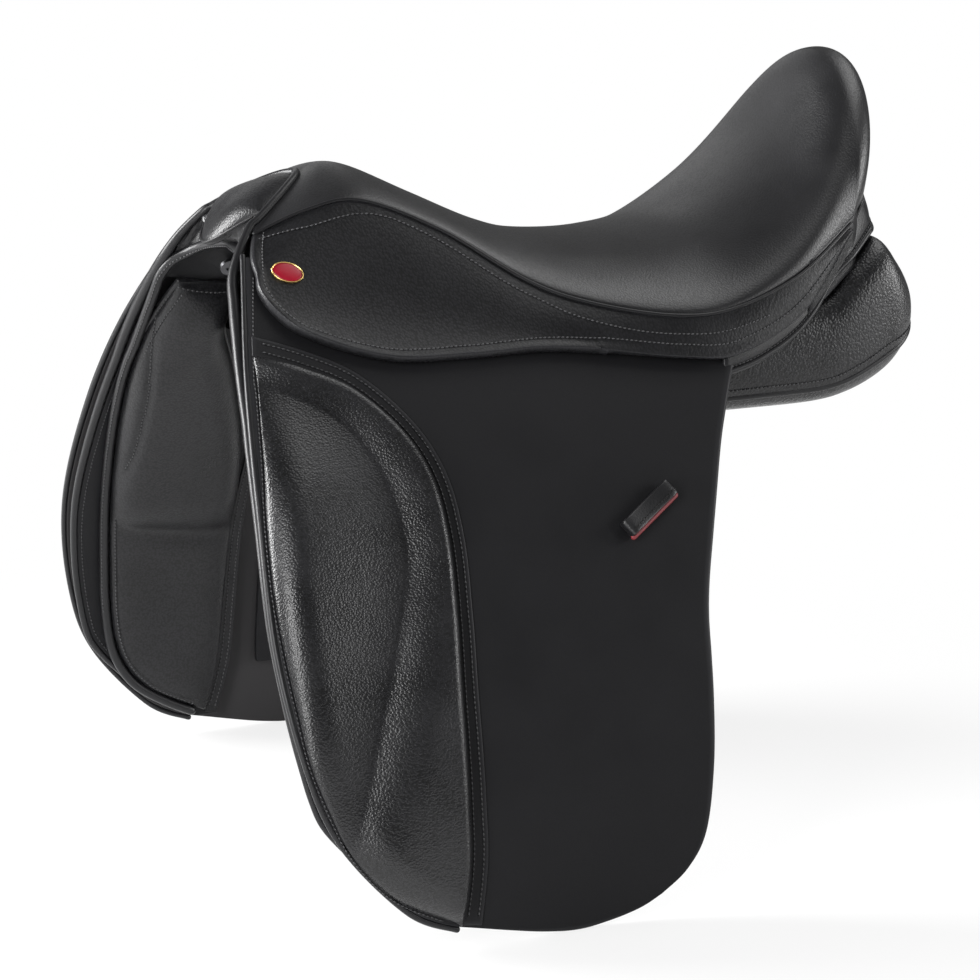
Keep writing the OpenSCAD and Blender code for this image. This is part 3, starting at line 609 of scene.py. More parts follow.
def softened_copy(name, node, material, width):
    """A copy of a CAD node with welded, rounded edges."""
    mesh = frame["nodes"][node].data.copy()
    mesh.name = name
    bm = bmesh.new()
    bm.from_mesh(mesh)
    bmesh.ops.remove_doubles(bm, verts=bm.verts, dist=CAD_WELD)
    flat = [e for e in bm.edges if len(e.link_faces) == 2 and e.calc_face_angle() < FLAT_ANGLE]
    bmesh.ops.dissolve_edges(bm, edges=flat, use_verts=True)
    sharp = [e for e in bm.edges if len(e.link_faces) == 2 and e.calc_face_angle() > SHARP_ANGLE]
    bevel = {"offset": width * MM, "segments": 2, "profile": ROUNDNESS, "affect": "EDGES", "clamp_overlap": True}
    bmesh.ops.bevel(bm, geom=sharp, **bevel)
    bmesh.ops.recalc_face_normals(bm, faces=bm.faces)
    bm.to_mesh(mesh)
    bm.free()
    coat(mesh, material)
    mesh.shade_smooth()
    piece = add_piece(name, mesh)
    piece.modifiers.new("crisp", "WEIGHTED_NORMAL").keep_sharp = True
    return piece


print("builders for CAD shapes ready")

# %% [markdown]
# ## The horse's side
# Flaps, knee pads and sweat flaps all follow one rounded surface, the horse's side. It is the same rule as
# in the CAD model: half the width at a height z, a distance y along the horse, and a height d over the skin.

# %% The horse's side
BARREL_HALF_W, HEAD_HALF_W = 250, 67
BARREL_Z, HEAD_Z, BARREL_POWER = -275, 108, 2.2
LAY, FLAP_FOOT_Z = 0.3, -283.0


def barrel(z):
    rise = np.clip((z - BARREL_Z) / (HEAD_Z - BARREL_Z), 0, None)
    return BARREL_HALF_W - (BARREL_HALF_W - HEAD_HALF_W) * rise**BARREL_POWER


def on_skin(y, z, d):
    y, z, d = np.broadcast_arrays(*(np.asarray(v, float) for v in (y, z, d)))
    run = barrel(z + 1) - barrel(z - 1)
    span = np.hypot(run, 2)
    return np.stack([barrel(z) + d * 2 / span, y, z - d * run / span], -1)


def lay(plan, d):
    """Lays flat points of y and z on the skin, at a height d over it."""
    return on_skin(plan[..., 0], plan[..., 1], d)


def skin_way(z):
    """Unit normal of the skin at a height."""
    z = np.asarray(z, float)
    return on_skin(0 * z, z, 1 + 0 * z) - on_skin(0 * z, z, 0 * z)


def skin_seam(line, d, facing=1):
    """A seam on the skin: its points and their normals, facing out or in."""
    return lay(line, d), facing * skin_way(line[:, 1])


def level_skin(line, d):
    """Points d over the skin that end up at the heights of a flat line."""
    y, z = line[:, 0], line[:, 1]
    at = z
    for _ in range(3):
        at = z - d * skin_way(at)[..., 2]
    return on_skin(y, at, d)


print("half width at the flap's foot:", round(float(barrel(FLAP_FOOT_Z)), 1), "mm")

# %% [markdown]
# ## How leather bends
# The flap lifts about a line under the skirt, and the skirt's lobe lifts over the stirrup bar. Real leather
# has no hinge there: it bends over a short stretch. Here no blend is made: each piece only has its placement
# baked into its mesh, and the joint's line is worked out but not used.

# %% How leather bends
SIDE_OUT, SIDE_UP = 0.75, 0.65


def bend(piece, joint):
    """Bakes a piece's placement into its mesh; the joint's line is worked out but not used."""
    j = joints[joint]
    at, axis = Vector(j["pos_m"]), Vector(j["axis"]).normalized()
    out = Vector((math.copysign(SIDE_OUT, at.x), 0, SIDE_UP))
    down = axis.cross(out).normalized()
    if down.z > 0:
        down = -down
    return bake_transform(piece)


def with_flap(piece, side):
    return bend(piece, f"{side}_flap_lift")


def with_skirt(piece, side):
    return bend(piece, f"{side}_skirt_lift")


# %% [markdown]
# ## Stitching
# Every seam shows its thread. One Geometry Nodes tree sews them all: it turns a chain of edges into a curve,
# sets points along it at the pitch of the stitches, and puts a small spindle of thread on each, along the seam and
# flat on the leather, and a near-black dot between each two, painted shade for the needle hole. The chain carries
# the leather's normal in an attribute named up.

# %% Stitching tree
HOLE_SHAPE = (0.45, 1.15, 0.75)


def stitch_tree():
    tree = bpy.data.node_groups.new("stitch_row", "GeometryNodeTree")
    face = tree.interface
    face.new_socket("Seam", in_out="INPUT", socket_type="NodeSocketGeometry")
    for label in ("Pitch", "Length", "Width", "Slant"):
        face.new_socket(label, in_out="INPUT", socket_type="NodeSocketFloat")
    for label in ("Thread", "Hole"):
        face.new_socket(label, in_out="INPUT", socket_type="NodeSocketMaterial")
    face.new_socket("Stitches", in_out="OUTPUT", socket_type="NodeSocketGeometry")

    def made(kind, inputs=None, out=0, **settings):
        return wire(tree, kind, inputs, **settings).outputs[out]

    given = wire(tree, "NodeGroupInput").outputs
    seam = made("GeometryNodeMeshToCurve", {"Mesh": given["Seam"]})
    even = made("GeometryNodeResampleCurve", {"Curve": seam, "Length": given["Pitch"]}, mode="LENGTH")
    up = made("GeometryNodeInputNamedAttribute", {"Name": "up"}, "Attribute", data_type="FLOAT_VECTOR")
    along = made("GeometryNodeInputTangent")
    align = "FunctionNodeAlignRotationToVector"
    turned = made(align, {"Vector": along}, axis="X")
    laid = made(align, {"Rotation": turned, "Vector": up}, axis="Z", pivot_axis="X")
    lean = made("ShaderNodeCombineXYZ", {"Z": given["Slant"]})
    by_lean = {"Rotation": laid, "Rotate By": lean}
    leaned = made("FunctionNodeRotateRotation", by_lean, rotation_space="LOCAL")
    size = made("ShaderNodeCombineXYZ", {"X": given["Length"], "Y": given["Width"], "Z": given["Width"]})
    spindle = made("GeometryNodeMeshUVSphere", {"Segments": 8, "Rings": 6, "Radius": 0.5}, "Mesh")
    half = made("ShaderNodeMath", {0: given["Pitch"], 1: 0.5}, operation="MULTIPLY")
    step = made("ShaderNodeVectorMath", {0: along, "Scale": half}, operation="SCALE")
    gaps = made("GeometryNodeSetPosition", {"Geometry": even, "Offset": step})
    pit = made("ShaderNodeVectorMath", {0: size, 1: HOLE_SHAPE}, operation="MULTIPLY")
    dot = made("GeometryNodeMeshIcoSphere", {"Subdivisions": 2, "Radius": 0.5}, "Mesh")
    whole = wire(tree, "GeometryNodeJoinGeometry")
    for points, form, way, scale, paint in (
        (even, spindle, leaned, size, "Thread"),
        (gaps, dot, laid, pit, "Hole"),
    ):
        put = {"Points": points, "Instance": form, "Rotation": way, "Scale": scale}
        real = made("GeometryNodeRealizeInstances", {"Geometry": made("GeometryNodeInstanceOnPoints", put)})
        smooth = made("GeometryNodeSetShadeSmooth", {"Geometry": real})
        dyed = made("GeometryNodeSetMaterial", {"Geometry": smooth, "Material": given[paint]})
        tree.links.new(dyed, whole.inputs[0])
    wire(tree, "NodeGroupOutput", {"Stitches": whole.outputs[0]})
    return tree


SEWING = stitch_tree()
print("sewing tree:", len(SEWING.nodes), "nodes")

# %% [markdown]
# ## Sewing
# The tree makes each row of stitches from its seams. The row is kept as a plain mesh.


# %% Sewing
def sew(name, seams, yarn, s=1, pitch=3.0, length=1.9, width=0.95, slant=0.16):
    """Stitches along seams, each a line of points with the leather's normals there, as one plain mesh."""
    mesh = bpy.data.meshes.new(name + "_seam")
    points = sided(np.concatenate([line for line, _ in seams]), s)
    ups = sided(np.concatenate([np.broadcast_to(up, line.shape) for line, up in seams]), s)
    edges, start = [], 0
    for line, _ in seams:
        edges += [(start + i, start + i + 1) for i in range(len(line) - 1)]
        start += len(line)
    mesh.from_pydata((points * MM).tolist(), edges, [])
    normals = mesh.attributes.new("up", "FLOAT_VECTOR", "POINT")
    normals.data.foreach_set("vector", unit(ups).astype(np.float32).ravel())
    seam = add_piece(name + "_seam", mesh)
    modifier = seam.modifiers.new("sewing", "NODES")
    modifier.node_group = SEWING
    given = {"Pitch": pitch * MM, "Length": length * MM, "Width": width * MM, "Slant": slant}
    given |= {"Thread": yarn, "Hole": needle_hole_shade}
    for item in SEWING.interface.items_tree:
        if item.name in given:
            modifier[item.identifier] = given[item.name]
    ready = seam.evaluated_get(bpy.context.evaluated_depsgraph_get())
    sewn = bpy.data.meshes.new_from_object(ready)
    sewn.name = name
    bpy.data.objects.remove(seam)
    return add_piece(name, sewn)


print("ready to sew")

# %% [markdown]
# ## Seat
# The seat is a padded form: high at the pommel, narrow at the twist, deep in the middle and rising to the
# cantle. It is described by a centre line and by the welt line at its edge, station by station, with a
# rounded fall between them.

# %% Seat lines
SEAT_MID = [
    (-134, 153), (-120, 159), (-100, 156), (-62, 138.8), (-15, 118.4), (25, 108.8), (85, 108.4),
    (140, 121.5), (195, 162.5), (226, 210), (243, 221.5), (257, 214), (257, 182), (250, 127),
]
WELT_LINE = [
    (50, -182, 122.3), (54, -148.5, 136.2), (60, -115.2, 141.1), (76, -68, 122), (100.2, -19, 90), (116.3, 18, 76),
    (130, 69, 67), (131, 111, 69), (123, 162, 86), (104, 208, 112), (100, 216, 118), (96, 220, 121),
    (91, 223, 121), (86, 225, 119),
]
SEAT_DEEP = [
    (-128, 118), (-118, 118), (-100, 116), (-62, 98), (-15, 78), (25, 66), (85, 66), (145, 78), (212, 120),
    (231, 176), (240, 190), (242, 190), (242, 172), (242, 125),
]
FOAM_FOLD = np.array([1, 1, 1, 1, 1, 1, 1, 1, 0.95, 0.8, 0.65, 0.6, 0.6, 0.6])[:, None]
WELT_R, EDGE_SHARE, COVER_T, FOAM_T, FOAM_EDGE = 1.2, 0.6, 2.5, 15, (0.72, 0.16)
SEAT_SLACK, CANTLE_SLACK, SLACK_CHANGE = 0.6, 0.25, (6.5, 2.5)
FRONT_STATIONS, FRONT_POWERS = 3.5, (1.5, 1.8)
CORE_SHARE, CORE_DROP, CORE_FORWARD, CORE_CHANGE = 0.55, 14, 6, (7, 3)
SEAT_END = len(SEAT_MID) - 1


def seat_falls(s, a):
    """How far the seat has fallen from its middle to its edge: round, with slack that flattens its flanks."""
    front = 1 - ease(s / FRONT_STATIONS)
    slack = mix(SEAT_SLACK, CANTLE_SLACK, ramp(s, *SLACK_CHANGE))
    flank = mix(1 - np.cos(a), np.sin(a) ** 2, slack)
    return [mix(flank, np.sin(a) ** power, front) for power in FRONT_POWERS]


def seat_edge(s):
    return flow(WELT_LINE, s) + [0, 0, WELT_R * EDGE_SHARE]


def seat_shell(middle, edge, s, u):
    """A surface that falls from a middle line to an edge, u across from -1 to 1."""
    a = np.pi / 2 * np.abs(u)
    mid = flow(middle, s)
    fall_y, fall_z = seat_falls(s, a)
    wide = np.sign(u) * edge[..., 0] * np.sin(a)
    return np.stack([wide, mix(mid[..., 0], edge[..., 1], fall_y), mix(mid[..., 1], edge[..., 2], fall_z)], -1)


def seat_top(s, u):
    """The seat's surface at station s."""
    s, u = np.broadcast_arrays(np.asarray(s, float), np.asarray(u, float))
    return seat_shell(SEAT_MID, seat_edge(s), s, u)


def seat_core(s, u):
    """What the underside of the seat's pad points at."""
    inset = np.stack([0 * s, CORE_FORWARD * ramp(s, *CORE_CHANGE), CORE_DROP + 0 * s], -1)
    return seat_shell(SEAT_DEEP, seat_edge(s) * [CORE_SHARE, 1, 1] - inset, s, u)


print("seat:", SEAT_END + 1, "stations")

# %% [markdown]
# ## Seat pad
# The upper face is the cover. The underside is the foam's own, which runs out towards the edges, so one closed
# pad stands for cover and foam.

# %% Seat pad
stations, across = np.meshgrid(np.linspace(0, SEAT_END, 170), np.linspace(-1, 1, 97), indexing="ij")
seat_face = seat_top(stations, across)
foam_share = (1 - ramp(np.abs(across), *FOAM_EDGE)) * flow(FOAM_FOLD, stations)[..., 0]
seat_depth = (COVER_T + FOAM_T * foam_share)[..., None]
seat_under = seat_face + seat_depth * unit(seat_core(stations, across) - seat_face)
seat_pad = pillow("seat_pad", seat_face, seat_under, seat_leather)
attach(seat_pad, "saddle")
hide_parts("seat_cover", "seat_foam")
print("seat pad:", len(seat_pad.data.polygons), "faces")

# %% [markdown]
# ## Welts
# A thin welt closes the seam between seat and skirt. It is a tube along the seat's own line.

# %% Welts
WELT_END, WELT_SHIFT = 9.2, [1.1, 0, -0.1]
welt_path = flow(WELT_LINE, np.linspace(0, WELT_END, 150)) + WELT_SHIFT
welts = [tube(f"{side}_seat_welt", welt_path, WELT_R, roll_leather, s, around=10) for side, s in SIDES.items()]
for welt in welts:
    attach(welt, "saddle")
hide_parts("seat_welts")
print("welts:", len(welts))

# %% [markdown]
# ## Skirts
# A skirt hangs from the welt and covers the stirrup bar. It is one sheet of leather with a rolled lower edge:
# in the CAD model it is cut at the fold, because the lobe below it lifts. Here it is whole.

# %% Skirt surface
SKIRT_OUT, SKIRT_T, SKIRT_ROLL_R, FRONT_TUCK = 8, 3.4, 2.9, 4
HEM_MARKS = [(-196, 90), (-176.5, 66), (-126, 48), (-72, 46), (-22, 47), (16, 44), (70, 37)]
HEM_REAR = [(139, 112, 42), (125, 166, 64), (103.2, 211.5, 108.8)]
HEM = [on_skin(y, z, SKIRT_OUT - FRONT_TUCK * (k == 0)) for k, (y, z) in enumerate(HEM_MARKS)] + HEM_REAR
HEM = np.array(HEM, float)
FOLD_FRONT, FOLD_REAR = on_skin(-196, 92, SKIRT_OUT - FRONT_TUCK), on_skin(18, 47, SKIRT_OUT)
FOLD_END, FOLD_SHARES = 5, (0.3, 0.98)
SKIRT_END, HEM_T, FRONT_CROWD = len(HEM) - 1, 0.985, 1.15
BEAD, CROWN_H = 6.5, 1.6
FRONT_ARC = [(0, 0.02), (0.4, 0.02), (0.62, 0.1), (0.8, 0.28), (0.92, 0.56), (1, 0.95)]


def skirt_face(s, t):
    """The skirt's outer face at station s, t down from the welt to the hem."""
    s, t = np.broadcast_arrays(np.asarray(s, float), np.asarray(t, float))
    top = flow(WELT_LINE, s) + [WELT_R, 0, -WELT_R - LAY]
    low = flow(HEM, s)
    along = (low[..., 1] - FOLD_FRONT[1]) / (FOLD_REAR[1] - FOLD_FRONT[1])
    fold = np.where((s < FOLD_END)[..., None], mix(FOLD_FRONT, FOLD_REAR, along[..., None]), low)
    upper, lower = np.linalg.norm(fold - top, axis=-1), np.linalg.norm(low - fold, axis=-1)
    share = np.clip(upper / (upper + lower), *FOLD_SHARES)
    off = fold - mix(top, low, share[..., None])
    hump = np.sin(np.pi * np.clip(t, 0, 1) ** (np.log(0.5) / np.log(share)))
    return mix(top, low, t[..., None]) + off * hump[..., None]


skirt_row, skirt_t = np.meshgrid(np.linspace(0, 1, 240), np.linspace(0, HEM_T, 48), indexing="ij")
arc_start = read_off(even_curve(FRONT_ARC, 80), skirt_t)
skirt_out = skirt_face(mix(arc_start, SKIRT_END, skirt_row**FRONT_CROWD), skirt_t)
skirt_way = normals_of(skirt_out)
skirt_way = skirt_way * np.sign(skirt_way[..., 0].mean())
border_gap = np.full(skirt_out.shape[:2], np.inf)
for mark in np.concatenate([skirt_out[0], skirt_out[::2, -1]]):
    border_gap = np.minimum(border_gap, np.linalg.norm(skirt_out - mark, axis=-1))
bead = (SKIRT_ROLL_R - SKIRT_T / 2) * ease(1 - border_gap / BEAD)[..., None]
skirt_crown = CROWN_H * np.sin(np.pi * skirt_t)[..., None]
skirt_high = skirt_out + (bead + skirt_crown) * skirt_way
skirt_low = skirt_out - (SKIRT_T + bead - skirt_crown) * skirt_way
for side, s in SIDES.items():
    skirt = pillow(f"{side}_skirt_leather", skirt_high, skirt_low, skirt_leather, s)
    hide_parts(f"{side}_skirt", f"{side}_skirt_lobe")
    with_skirt(skirt, side)
print("skirts: hem", round(length_of(skirt_out[:, -1])), "mm long")

# %% [markdown]
# ## Skirt stitching
# Two rows run along the skirt. One lies under the welt and swings down towards the rear, and one follows the
# hem.

# %% Skirt stitching
DECO_MARKS = [
    (0.03, 0.1), (0.58, 0.13), (1.05, 0.14), (1.55, 0.11), (2.0, 0.075), (2.25, 0.06), (2.5, 0.06), (2.98, 0.09),
    (3.62, 0.17), (4.12, 0.22), (4.75, 0.35), (5.45, 0.45), (6.12, 0.43), (6.98, 0.42), (7.45, 0.44),
]
HEM_ROW_FRONT = [(0.25, 0.03), (0.25, 0.36), (0.31, 0.55), (0.46, 0.7), (0.72, 0.8)]
HEM_ROW_FROM, HEM_ROW_REST, HEM_ROW_IN, NARROWEST = 1.1, 0.1, 7.5, 2.2
THREAD_OVER, SLOPE_STEP = 0.3, 0.01


def on_skirt(marks, count, over=THREAD_OVER):
    """A line on the skirt through marks of station and depth, with the normals there."""
    s, t = even_curve(marks, count).T
    along = skirt_face(s + SLOPE_STEP, t) - skirt_face(s - SLOPE_STEP, t)
    down = skirt_face(s, t + SLOPE_STEP) - skirt_face(s, t - SLOPE_STEP)
    way = unit(np.cross(along, down))
    way = way * np.sign(way[:, :1])
    crown = CROWN_H * np.sin(np.pi * t[:, None])
    return skirt_face(s, t) + (crown + over) * way, way


edge_s = np.linspace(HEM_ROW_FROM, SKIRT_END - HEM_ROW_REST, 120)
edge_drop = np.linalg.norm(skirt_face(edge_s, 1 + 0 * edge_s) - skirt_face(edge_s, 0 * edge_s), axis=-1)
edge_marks = np.stack([edge_s, 1 - HEM_ROW_IN / np.maximum(edge_drop, NARROWEST * HEM_ROW_IN)], -1)
skirt_seams = [on_skirt(marks, 300) for marks in (DECO_MARKS, HEM_ROW_FRONT + edge_marks[::4].tolist())]
for side, s in SIDES.items():
    rows = sew(f"{side}_skirt_stitching", skirt_seams, thread, s)
    with_skirt(rows, side)
print("skirt seams sewn")

# %% [markdown]
# ## Badges
# An oval badge sits on the front of each skirt: red enamel, slightly domed, in a gilt rim. It carries no
# words here. Both parts are small turned forms on an oval, set on the skirt's surface.

# %% Badges
BADGE_A, BADGE_B, BADGE_S, BADGE_T = 10.2, 7.2, 0.96, 0.53
BADGE_ROUND, BADGE_AHEAD, BADGE_TILT = 64, 0.05, 0.02
RIM_PROFILE = [(0.985, 0.0), (1.0, 0.7), (0.99, 1.4), (0.96, 1.75), (0.925, 1.65), (0.905, 1.2)]
DOME_PROFILE = [(0.93, 0.6), (0.91, 1.25), (0.75, 1.65), (0.45, 1.9), (0.2, 2.0), (0.0, 2.02)]


def oval_turn(name, centre, long_way, high_way, out_way, profile, material):
    """An oval form: each profile point is a share of the oval's size and a height."""
    spin = np.linspace(0, 2 * np.pi, BADGE_ROUND, endpoint=False)[None, :, None]
    share, lift = np.transpose(profile)[..., None, None]
    ring = BADGE_A * np.cos(spin) * long_way + BADGE_B * np.sin(spin) * high_way
    rows = len(profile)
    faces = grid_faces(rows, BADGE_ROUND, wrap=True) + [tuple(range(BADGE_ROUND - 1, -1, -1))]
    if profile[-1][0] > 0:
        faces.append(tuple((rows - 1) * BADGE_ROUND + k for k in range(BADGE_ROUND)))
    return make_piece(name, centre + share * ring + lift * out_way, faces, material)


badge_spot, badge_way = on_skirt([(BADGE_S, BADGE_T), (BADGE_S + BADGE_AHEAD, BADGE_T)], 2, over=0)
badge_long = unit(unit(badge_spot[1] - badge_spot[0]) + [0, 0, BADGE_TILT])
badge_out = unit(badge_way[0] - badge_long * (badge_way[0] @ badge_long))
badge_high = np.cross(badge_out, badge_long)
for side, s in SIDES.items():
    spot = [sided(v, s) for v in (badge_spot[0], badge_long, badge_high, badge_out)]
    rim = oval_turn(f"{side}_badge_rim", *spot, RIM_PROFILE, gilt)
    dome = oval_turn(f"{side}_badge_enamel", *spot, DOME_PROFILE, enamel)
    for part, slot in ((rim, "gold"), (dome, "enamel")):
        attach(part, "saddle")
    if side == "left":
        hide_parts("badges")
        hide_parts("badge_enamels")
print("badges set at", np.round(badge_spot[0], 1))

# %% [markdown]
# ## Flaps
# The flap is one long sheet of plain leather on the horse's side. Its outline is drawn in the plane of Y and
# Z, filled with a grid that follows all four edges (a Coons patch), and laid on the skin. A window in its
# top, under the skirt, gives the stirrup leather its way to the bar.

# %% Flap outline
FLAP_T, FLAP_ROLL_R = 4.5, 2.3
FLAP_FRONT = [
    (-193.5, 110), (-213, 49), (-224.8, -18), (-230.8, -95), (-221.5, -163), (-203.4, -211), (-163, -257),
    (-132, -272),
]
FLAP_BACK = [
    (-132, -272), (-78, -282), (-38, -282.5), (5, -270), (35, -235), (46, -155), (50, -108), (60, -70), (85, -8),
    (111, 36),
]
FOOT_END, BACK_END = 3, len(FLAP_BACK) - 1
FLAP_ROWS, FLAP_COLS = 130, 90
BAR_WINDOW = ((20, -142, 60), (140, -34, 150))


def coons(front, rear, top, foot):
    """Fills four edges: front and rear run down, top and foot run from front to rear."""
    t = np.linspace(0, 1, len(front))[:, None, None]
    s = np.linspace(0, 1, len(top))[None, :, None]
    corners = (1 - t) * ((1 - s) * front[0] + s * rear[0]) + t * ((1 - s) * front[-1] + s * rear[-1])
    return (1 - s) * front[:, None] + s * rear[:, None] + (1 - t) * top + t * foot - corners


def cut_window(piece, low, high, s):
    """Cuts a box out of a piece and makes the result its mesh."""
    lo, hi = sided(low, s), sided(high, s)
    corners = [(x, y, z) for x in (lo[0], hi[0]) for y in (lo[1], hi[1]) for z in (lo[2], hi[2])]
    faces = [(0, 1, 3, 2), (4, 6, 7, 5), (0, 4, 5, 1), (2, 3, 7, 6), (0, 2, 6, 4), (1, 5, 7, 3)]
    cutter = make_piece("window_cutter", corners, faces, piece.data.materials[0])
    cut = piece.modifiers.new("window", "BOOLEAN")
    cut.operation, cut.object, cut.solver = "DIFFERENCE", cutter, "EXACT"
    ready = piece.evaluated_get(bpy.context.evaluated_depsgraph_get())
    mesh = bpy.data.meshes.new_from_object(ready)
    piece.modifiers.clear()
    piece.data = mesh
    bpy.data.objects.remove(cutter)


print("flap outline:", len(FLAP_FRONT) + len(FLAP_BACK), "marks")

# %% [markdown]
# ## Flap sheet
# The outline is moved in by the roll's radius in front and by half the leather's thickness behind, where the
# rounded rim makes up for it.

# %% Flap sheet
flap_fine = flow(FLAP_FRONT, np.linspace(0, len(FLAP_FRONT) - 1, 71))
front_edge = even_curve(shift_aside(flap_fine, FLAP_ROLL_R)[::5], FLAP_ROWS)
rear_line = shift_aside(flow(FLAP_BACK, np.linspace(FOOT_END, BACK_END, 61)), FLAP_T / 2)
rear_edge = even_curve(rear_line[::-5], FLAP_ROWS)
foot_line = shift_aside(flow(FLAP_BACK, np.linspace(0, FOOT_END, 31)), FLAP_T / 2)
foot_edge = even_curve([front_edge[-1]] + foot_line[3:-3:3].tolist() + [rear_edge[-1]], FLAP_COLS)
top_edge = mix(front_edge[0], rear_edge[0], np.linspace(0, 1, FLAP_COLS)[:, None])
flap_plan = coons(front_edge, rear_edge, top_edge, foot_edge)
for side, s in SIDES.items():
    flap = pillow(f"{side}_flap_leather", lay(flap_plan, 0), lay(flap_plan, -FLAP_T), flap_leather, s, flesh=1)
    cut_window(flap, *BAR_WINDOW, s)
    flap.data.shade_smooth()
    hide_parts(f"{side}_flap", f"{side}_flap_top")
    with_flap(flap, side)
print("flaps:", FLAP_ROWS * FLAP_COLS, "points a side")

# %% [markdown]
# ## Rolls
# The front edge of each flap is bound in a thin roll. In front of it lies a thicker one: it comes up along
# the sweat flap, passes into the cord at the seat's front edge, crosses the pommel and goes down the other
# side. That one is a single tube, whose radius changes along its way.

# %% Rolls
SWEAT_D, SWEAT_T, SWEAT_ROLL_R = -13.5, 2.5, 3.2
ROLL_SHIFT = [  # height, and how far behind the flap's edge
    (-265, 6), (-240, 7), (-222, 3), (-205, -1), (-170, 1), (-120, 3), (-50, 3.5), (20, 3), (60, 0), (85, -2.5),
    (110, -4),
]
ROLL_OUT = [(10, 0), (70, 4), (100, 5.5)]
ROLL_RADII = [
    (-265, 2.4), (-150, 2.5), (-60, 2.8), (0, 3.1), (40, 3.7), (75, 4.1), (100, 3.5), (116, 3.0), (153, 2.6),
]
FLAP_ROLL_RADII = [(-270, 2.1), (-150, 2.2), (0, 2.4), (60, 1.9)]
ROLL_SPAN = (-245, 98)
CORD_U, CORD_SHIFT, CORD_JOINT = 0.82, [0, -1.2, 0.4], (55, -193, 112)
CORD_IN, CORD_FORE = -5, -3


def beside_roll(line):
    """The sweat flap's edge beside the flap's edge."""
    return line + np.stack([read_off(ROLL_SHIFT, line[:, 1]), 0 * line[:, 1]], -1)


def within(line, span):
    """The part of a flat line between two heights."""
    return line[(line[:, 1] > span[0]) & (line[:, 1] < span[1])]


def pommel_edge(u):
    """The cord's line along the seat's front edge, a little in front of it towards the sides."""
    return seat_top(0 * u, u) + np.stack([CORD_IN * u * np.abs(u), CORD_FORE * u**2, 0 * u], -1)


roll_line = even_curve(FLAP_FRONT, 160)
flap_roll_path = level_skin(roll_line, -FLAP_T / 2)
low_roll = beside_roll(within(roll_line, ROLL_SPAN))
sweat_roll_path = level_skin(low_roll, SWEAT_D - SWEAT_T / 2 + read_off(ROLL_OUT, low_roll[:, 1]))
cord_marks = pommel_edge(np.linspace(0, CORD_U, 8)) + CORD_SHIFT
cord_half = np.concatenate([cord_marks, [CORD_JOINT], sweat_roll_path[::6], sweat_roll_path[-1:]])
cord_path = across_middle(even_curve(cord_half, 300))
front_roll = tube("front_roll", cord_path, read_off(ROLL_RADII, cord_path[:, 2]), roll_leather, around=16)
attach(front_roll, "saddle")
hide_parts("left_sweat_roll", "right_sweat_roll")
flap_radius = read_off(FLAP_ROLL_RADII, flap_roll_path[:, 2])
for side, s in SIDES.items():
    roll = tube(f"{side}_flap_edge_roll", flap_roll_path, flap_radius, roll_leather, s)
    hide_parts(f"{side}_flap_roll", f"{side}_top_roll")
    with_flap(roll, side)
print("rolls:", round(length_of(cord_path)), "mm over the pommel")

# %% [markdown]
# ## Knee pads
# The knee pad is pebbled leather over foam. A sewn valley starts and ends at the front edge and swings far to
# the rear between: in front of it lies a shallow bed for the knee, behind it a crescent that holds the thigh.
# The height over the flap is a rule of three distances: to the front edge, to the rear edge, to the valley.

# %% Knee pad
PAD_FRONT = [
    (-207.5, 55.5), (-209, 43.6), (-213, 24), (-218, -2), (-224, -33), (-227.5, -70), (-226.5, -103), (-223, -136),
    (-218.5, -164.5), (-208.5, -194), (-198, -217), (-180.5, -239), (-163, -252.5), (-134, -266.5),
]
PAD_REAR = [
    (-206, 56.5), (-180, 48), (-152, 35), (-128, 11), (-116, -15), (-114, -48), (-118, -92), (-122, -136),
    (-124, -194), (-125, -230), (-130, -268),
]
PAD_VALLEY = [
    (-232, 47), (-210.8, 40.6), (-188.4, 31.2), (-166.9, 18.5), (-154, 2.1), (-146.2, -17.9), (-143.6, -34.8),
    (-143.5, -52.7), (-147, -68.7), (-152.4, -82.4), (-163.6, -113.7), (-176.5, -146.9), (-186.5, -175.8),
    (-193.8, -197.3), (-204, -220), (-214, -240),
]
PAD_ROWS, PAD_COLS = 190, 90
VALLEY_H, BED_H, CREST_H, PAD_SEAM = 2.4, 12.0, 12.0, 0.8
VALLEY_SOFT, CREST_REACH, BED_REACH, FRONT_REACH, REAR_REACH = 2.5, 34, 76, 22, 7
BED_POWER, FRONT_POWER, PAD_WORN = 0.9, 1.4, 0.2
pad_fore, pad_aft = even_curve(PAD_FRONT, PAD_ROWS), even_curve(PAD_REAR, PAD_ROWS)
pad_plan = between(pad_fore, pad_aft, crowded(PAD_COLS))
to_valley = nearest(pad_plan, even_curve(PAD_VALLEY, 160))
bed = mix(VALLEY_H, BED_H, ease(np.abs(to_valley) / BED_REACH) ** BED_POWER)
behind = np.clip((np.hypot(to_valley, VALLEY_SOFT) - VALLEY_SOFT) / CREST_REACH, 0, 1)
crest = mix(VALLEY_H, CREST_H, 1 - (1 - behind) ** 2)
front_rise = swell_up(np.abs(nearest(pad_plan, pad_fore)) / FRONT_REACH) ** FRONT_POWER
rear_rise = swell_up(np.abs(nearest(pad_plan, pad_aft)) / REAR_REACH)
pad_height = PAD_SEAM + np.where(to_valley < 0, bed, crest) * front_rise * rear_rise
pad_face, pad_base = lay(pad_plan, LAY + pad_height), lay(pad_plan, LAY)
for side, s in SIDES.items():
    pad = pillow(f"{side}_knee_pad_leather", pad_face, pad_base, grain_leather, s, rim=2, worn=PAD_WORN)
    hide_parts(f"{side}_knee_pad")
    with_flap(pad, side)
print("knee pads:", round(float(pad_height.max()), 1), "mm high")

# %% [markdown]
# ## Knee-pad binding
# Along its top and rear edge the pad is bound by a flat band with two rows of stitches. The band follows the
# pad's edge at a fixed distance, and a single row sews the pad's front edge beside the roll.

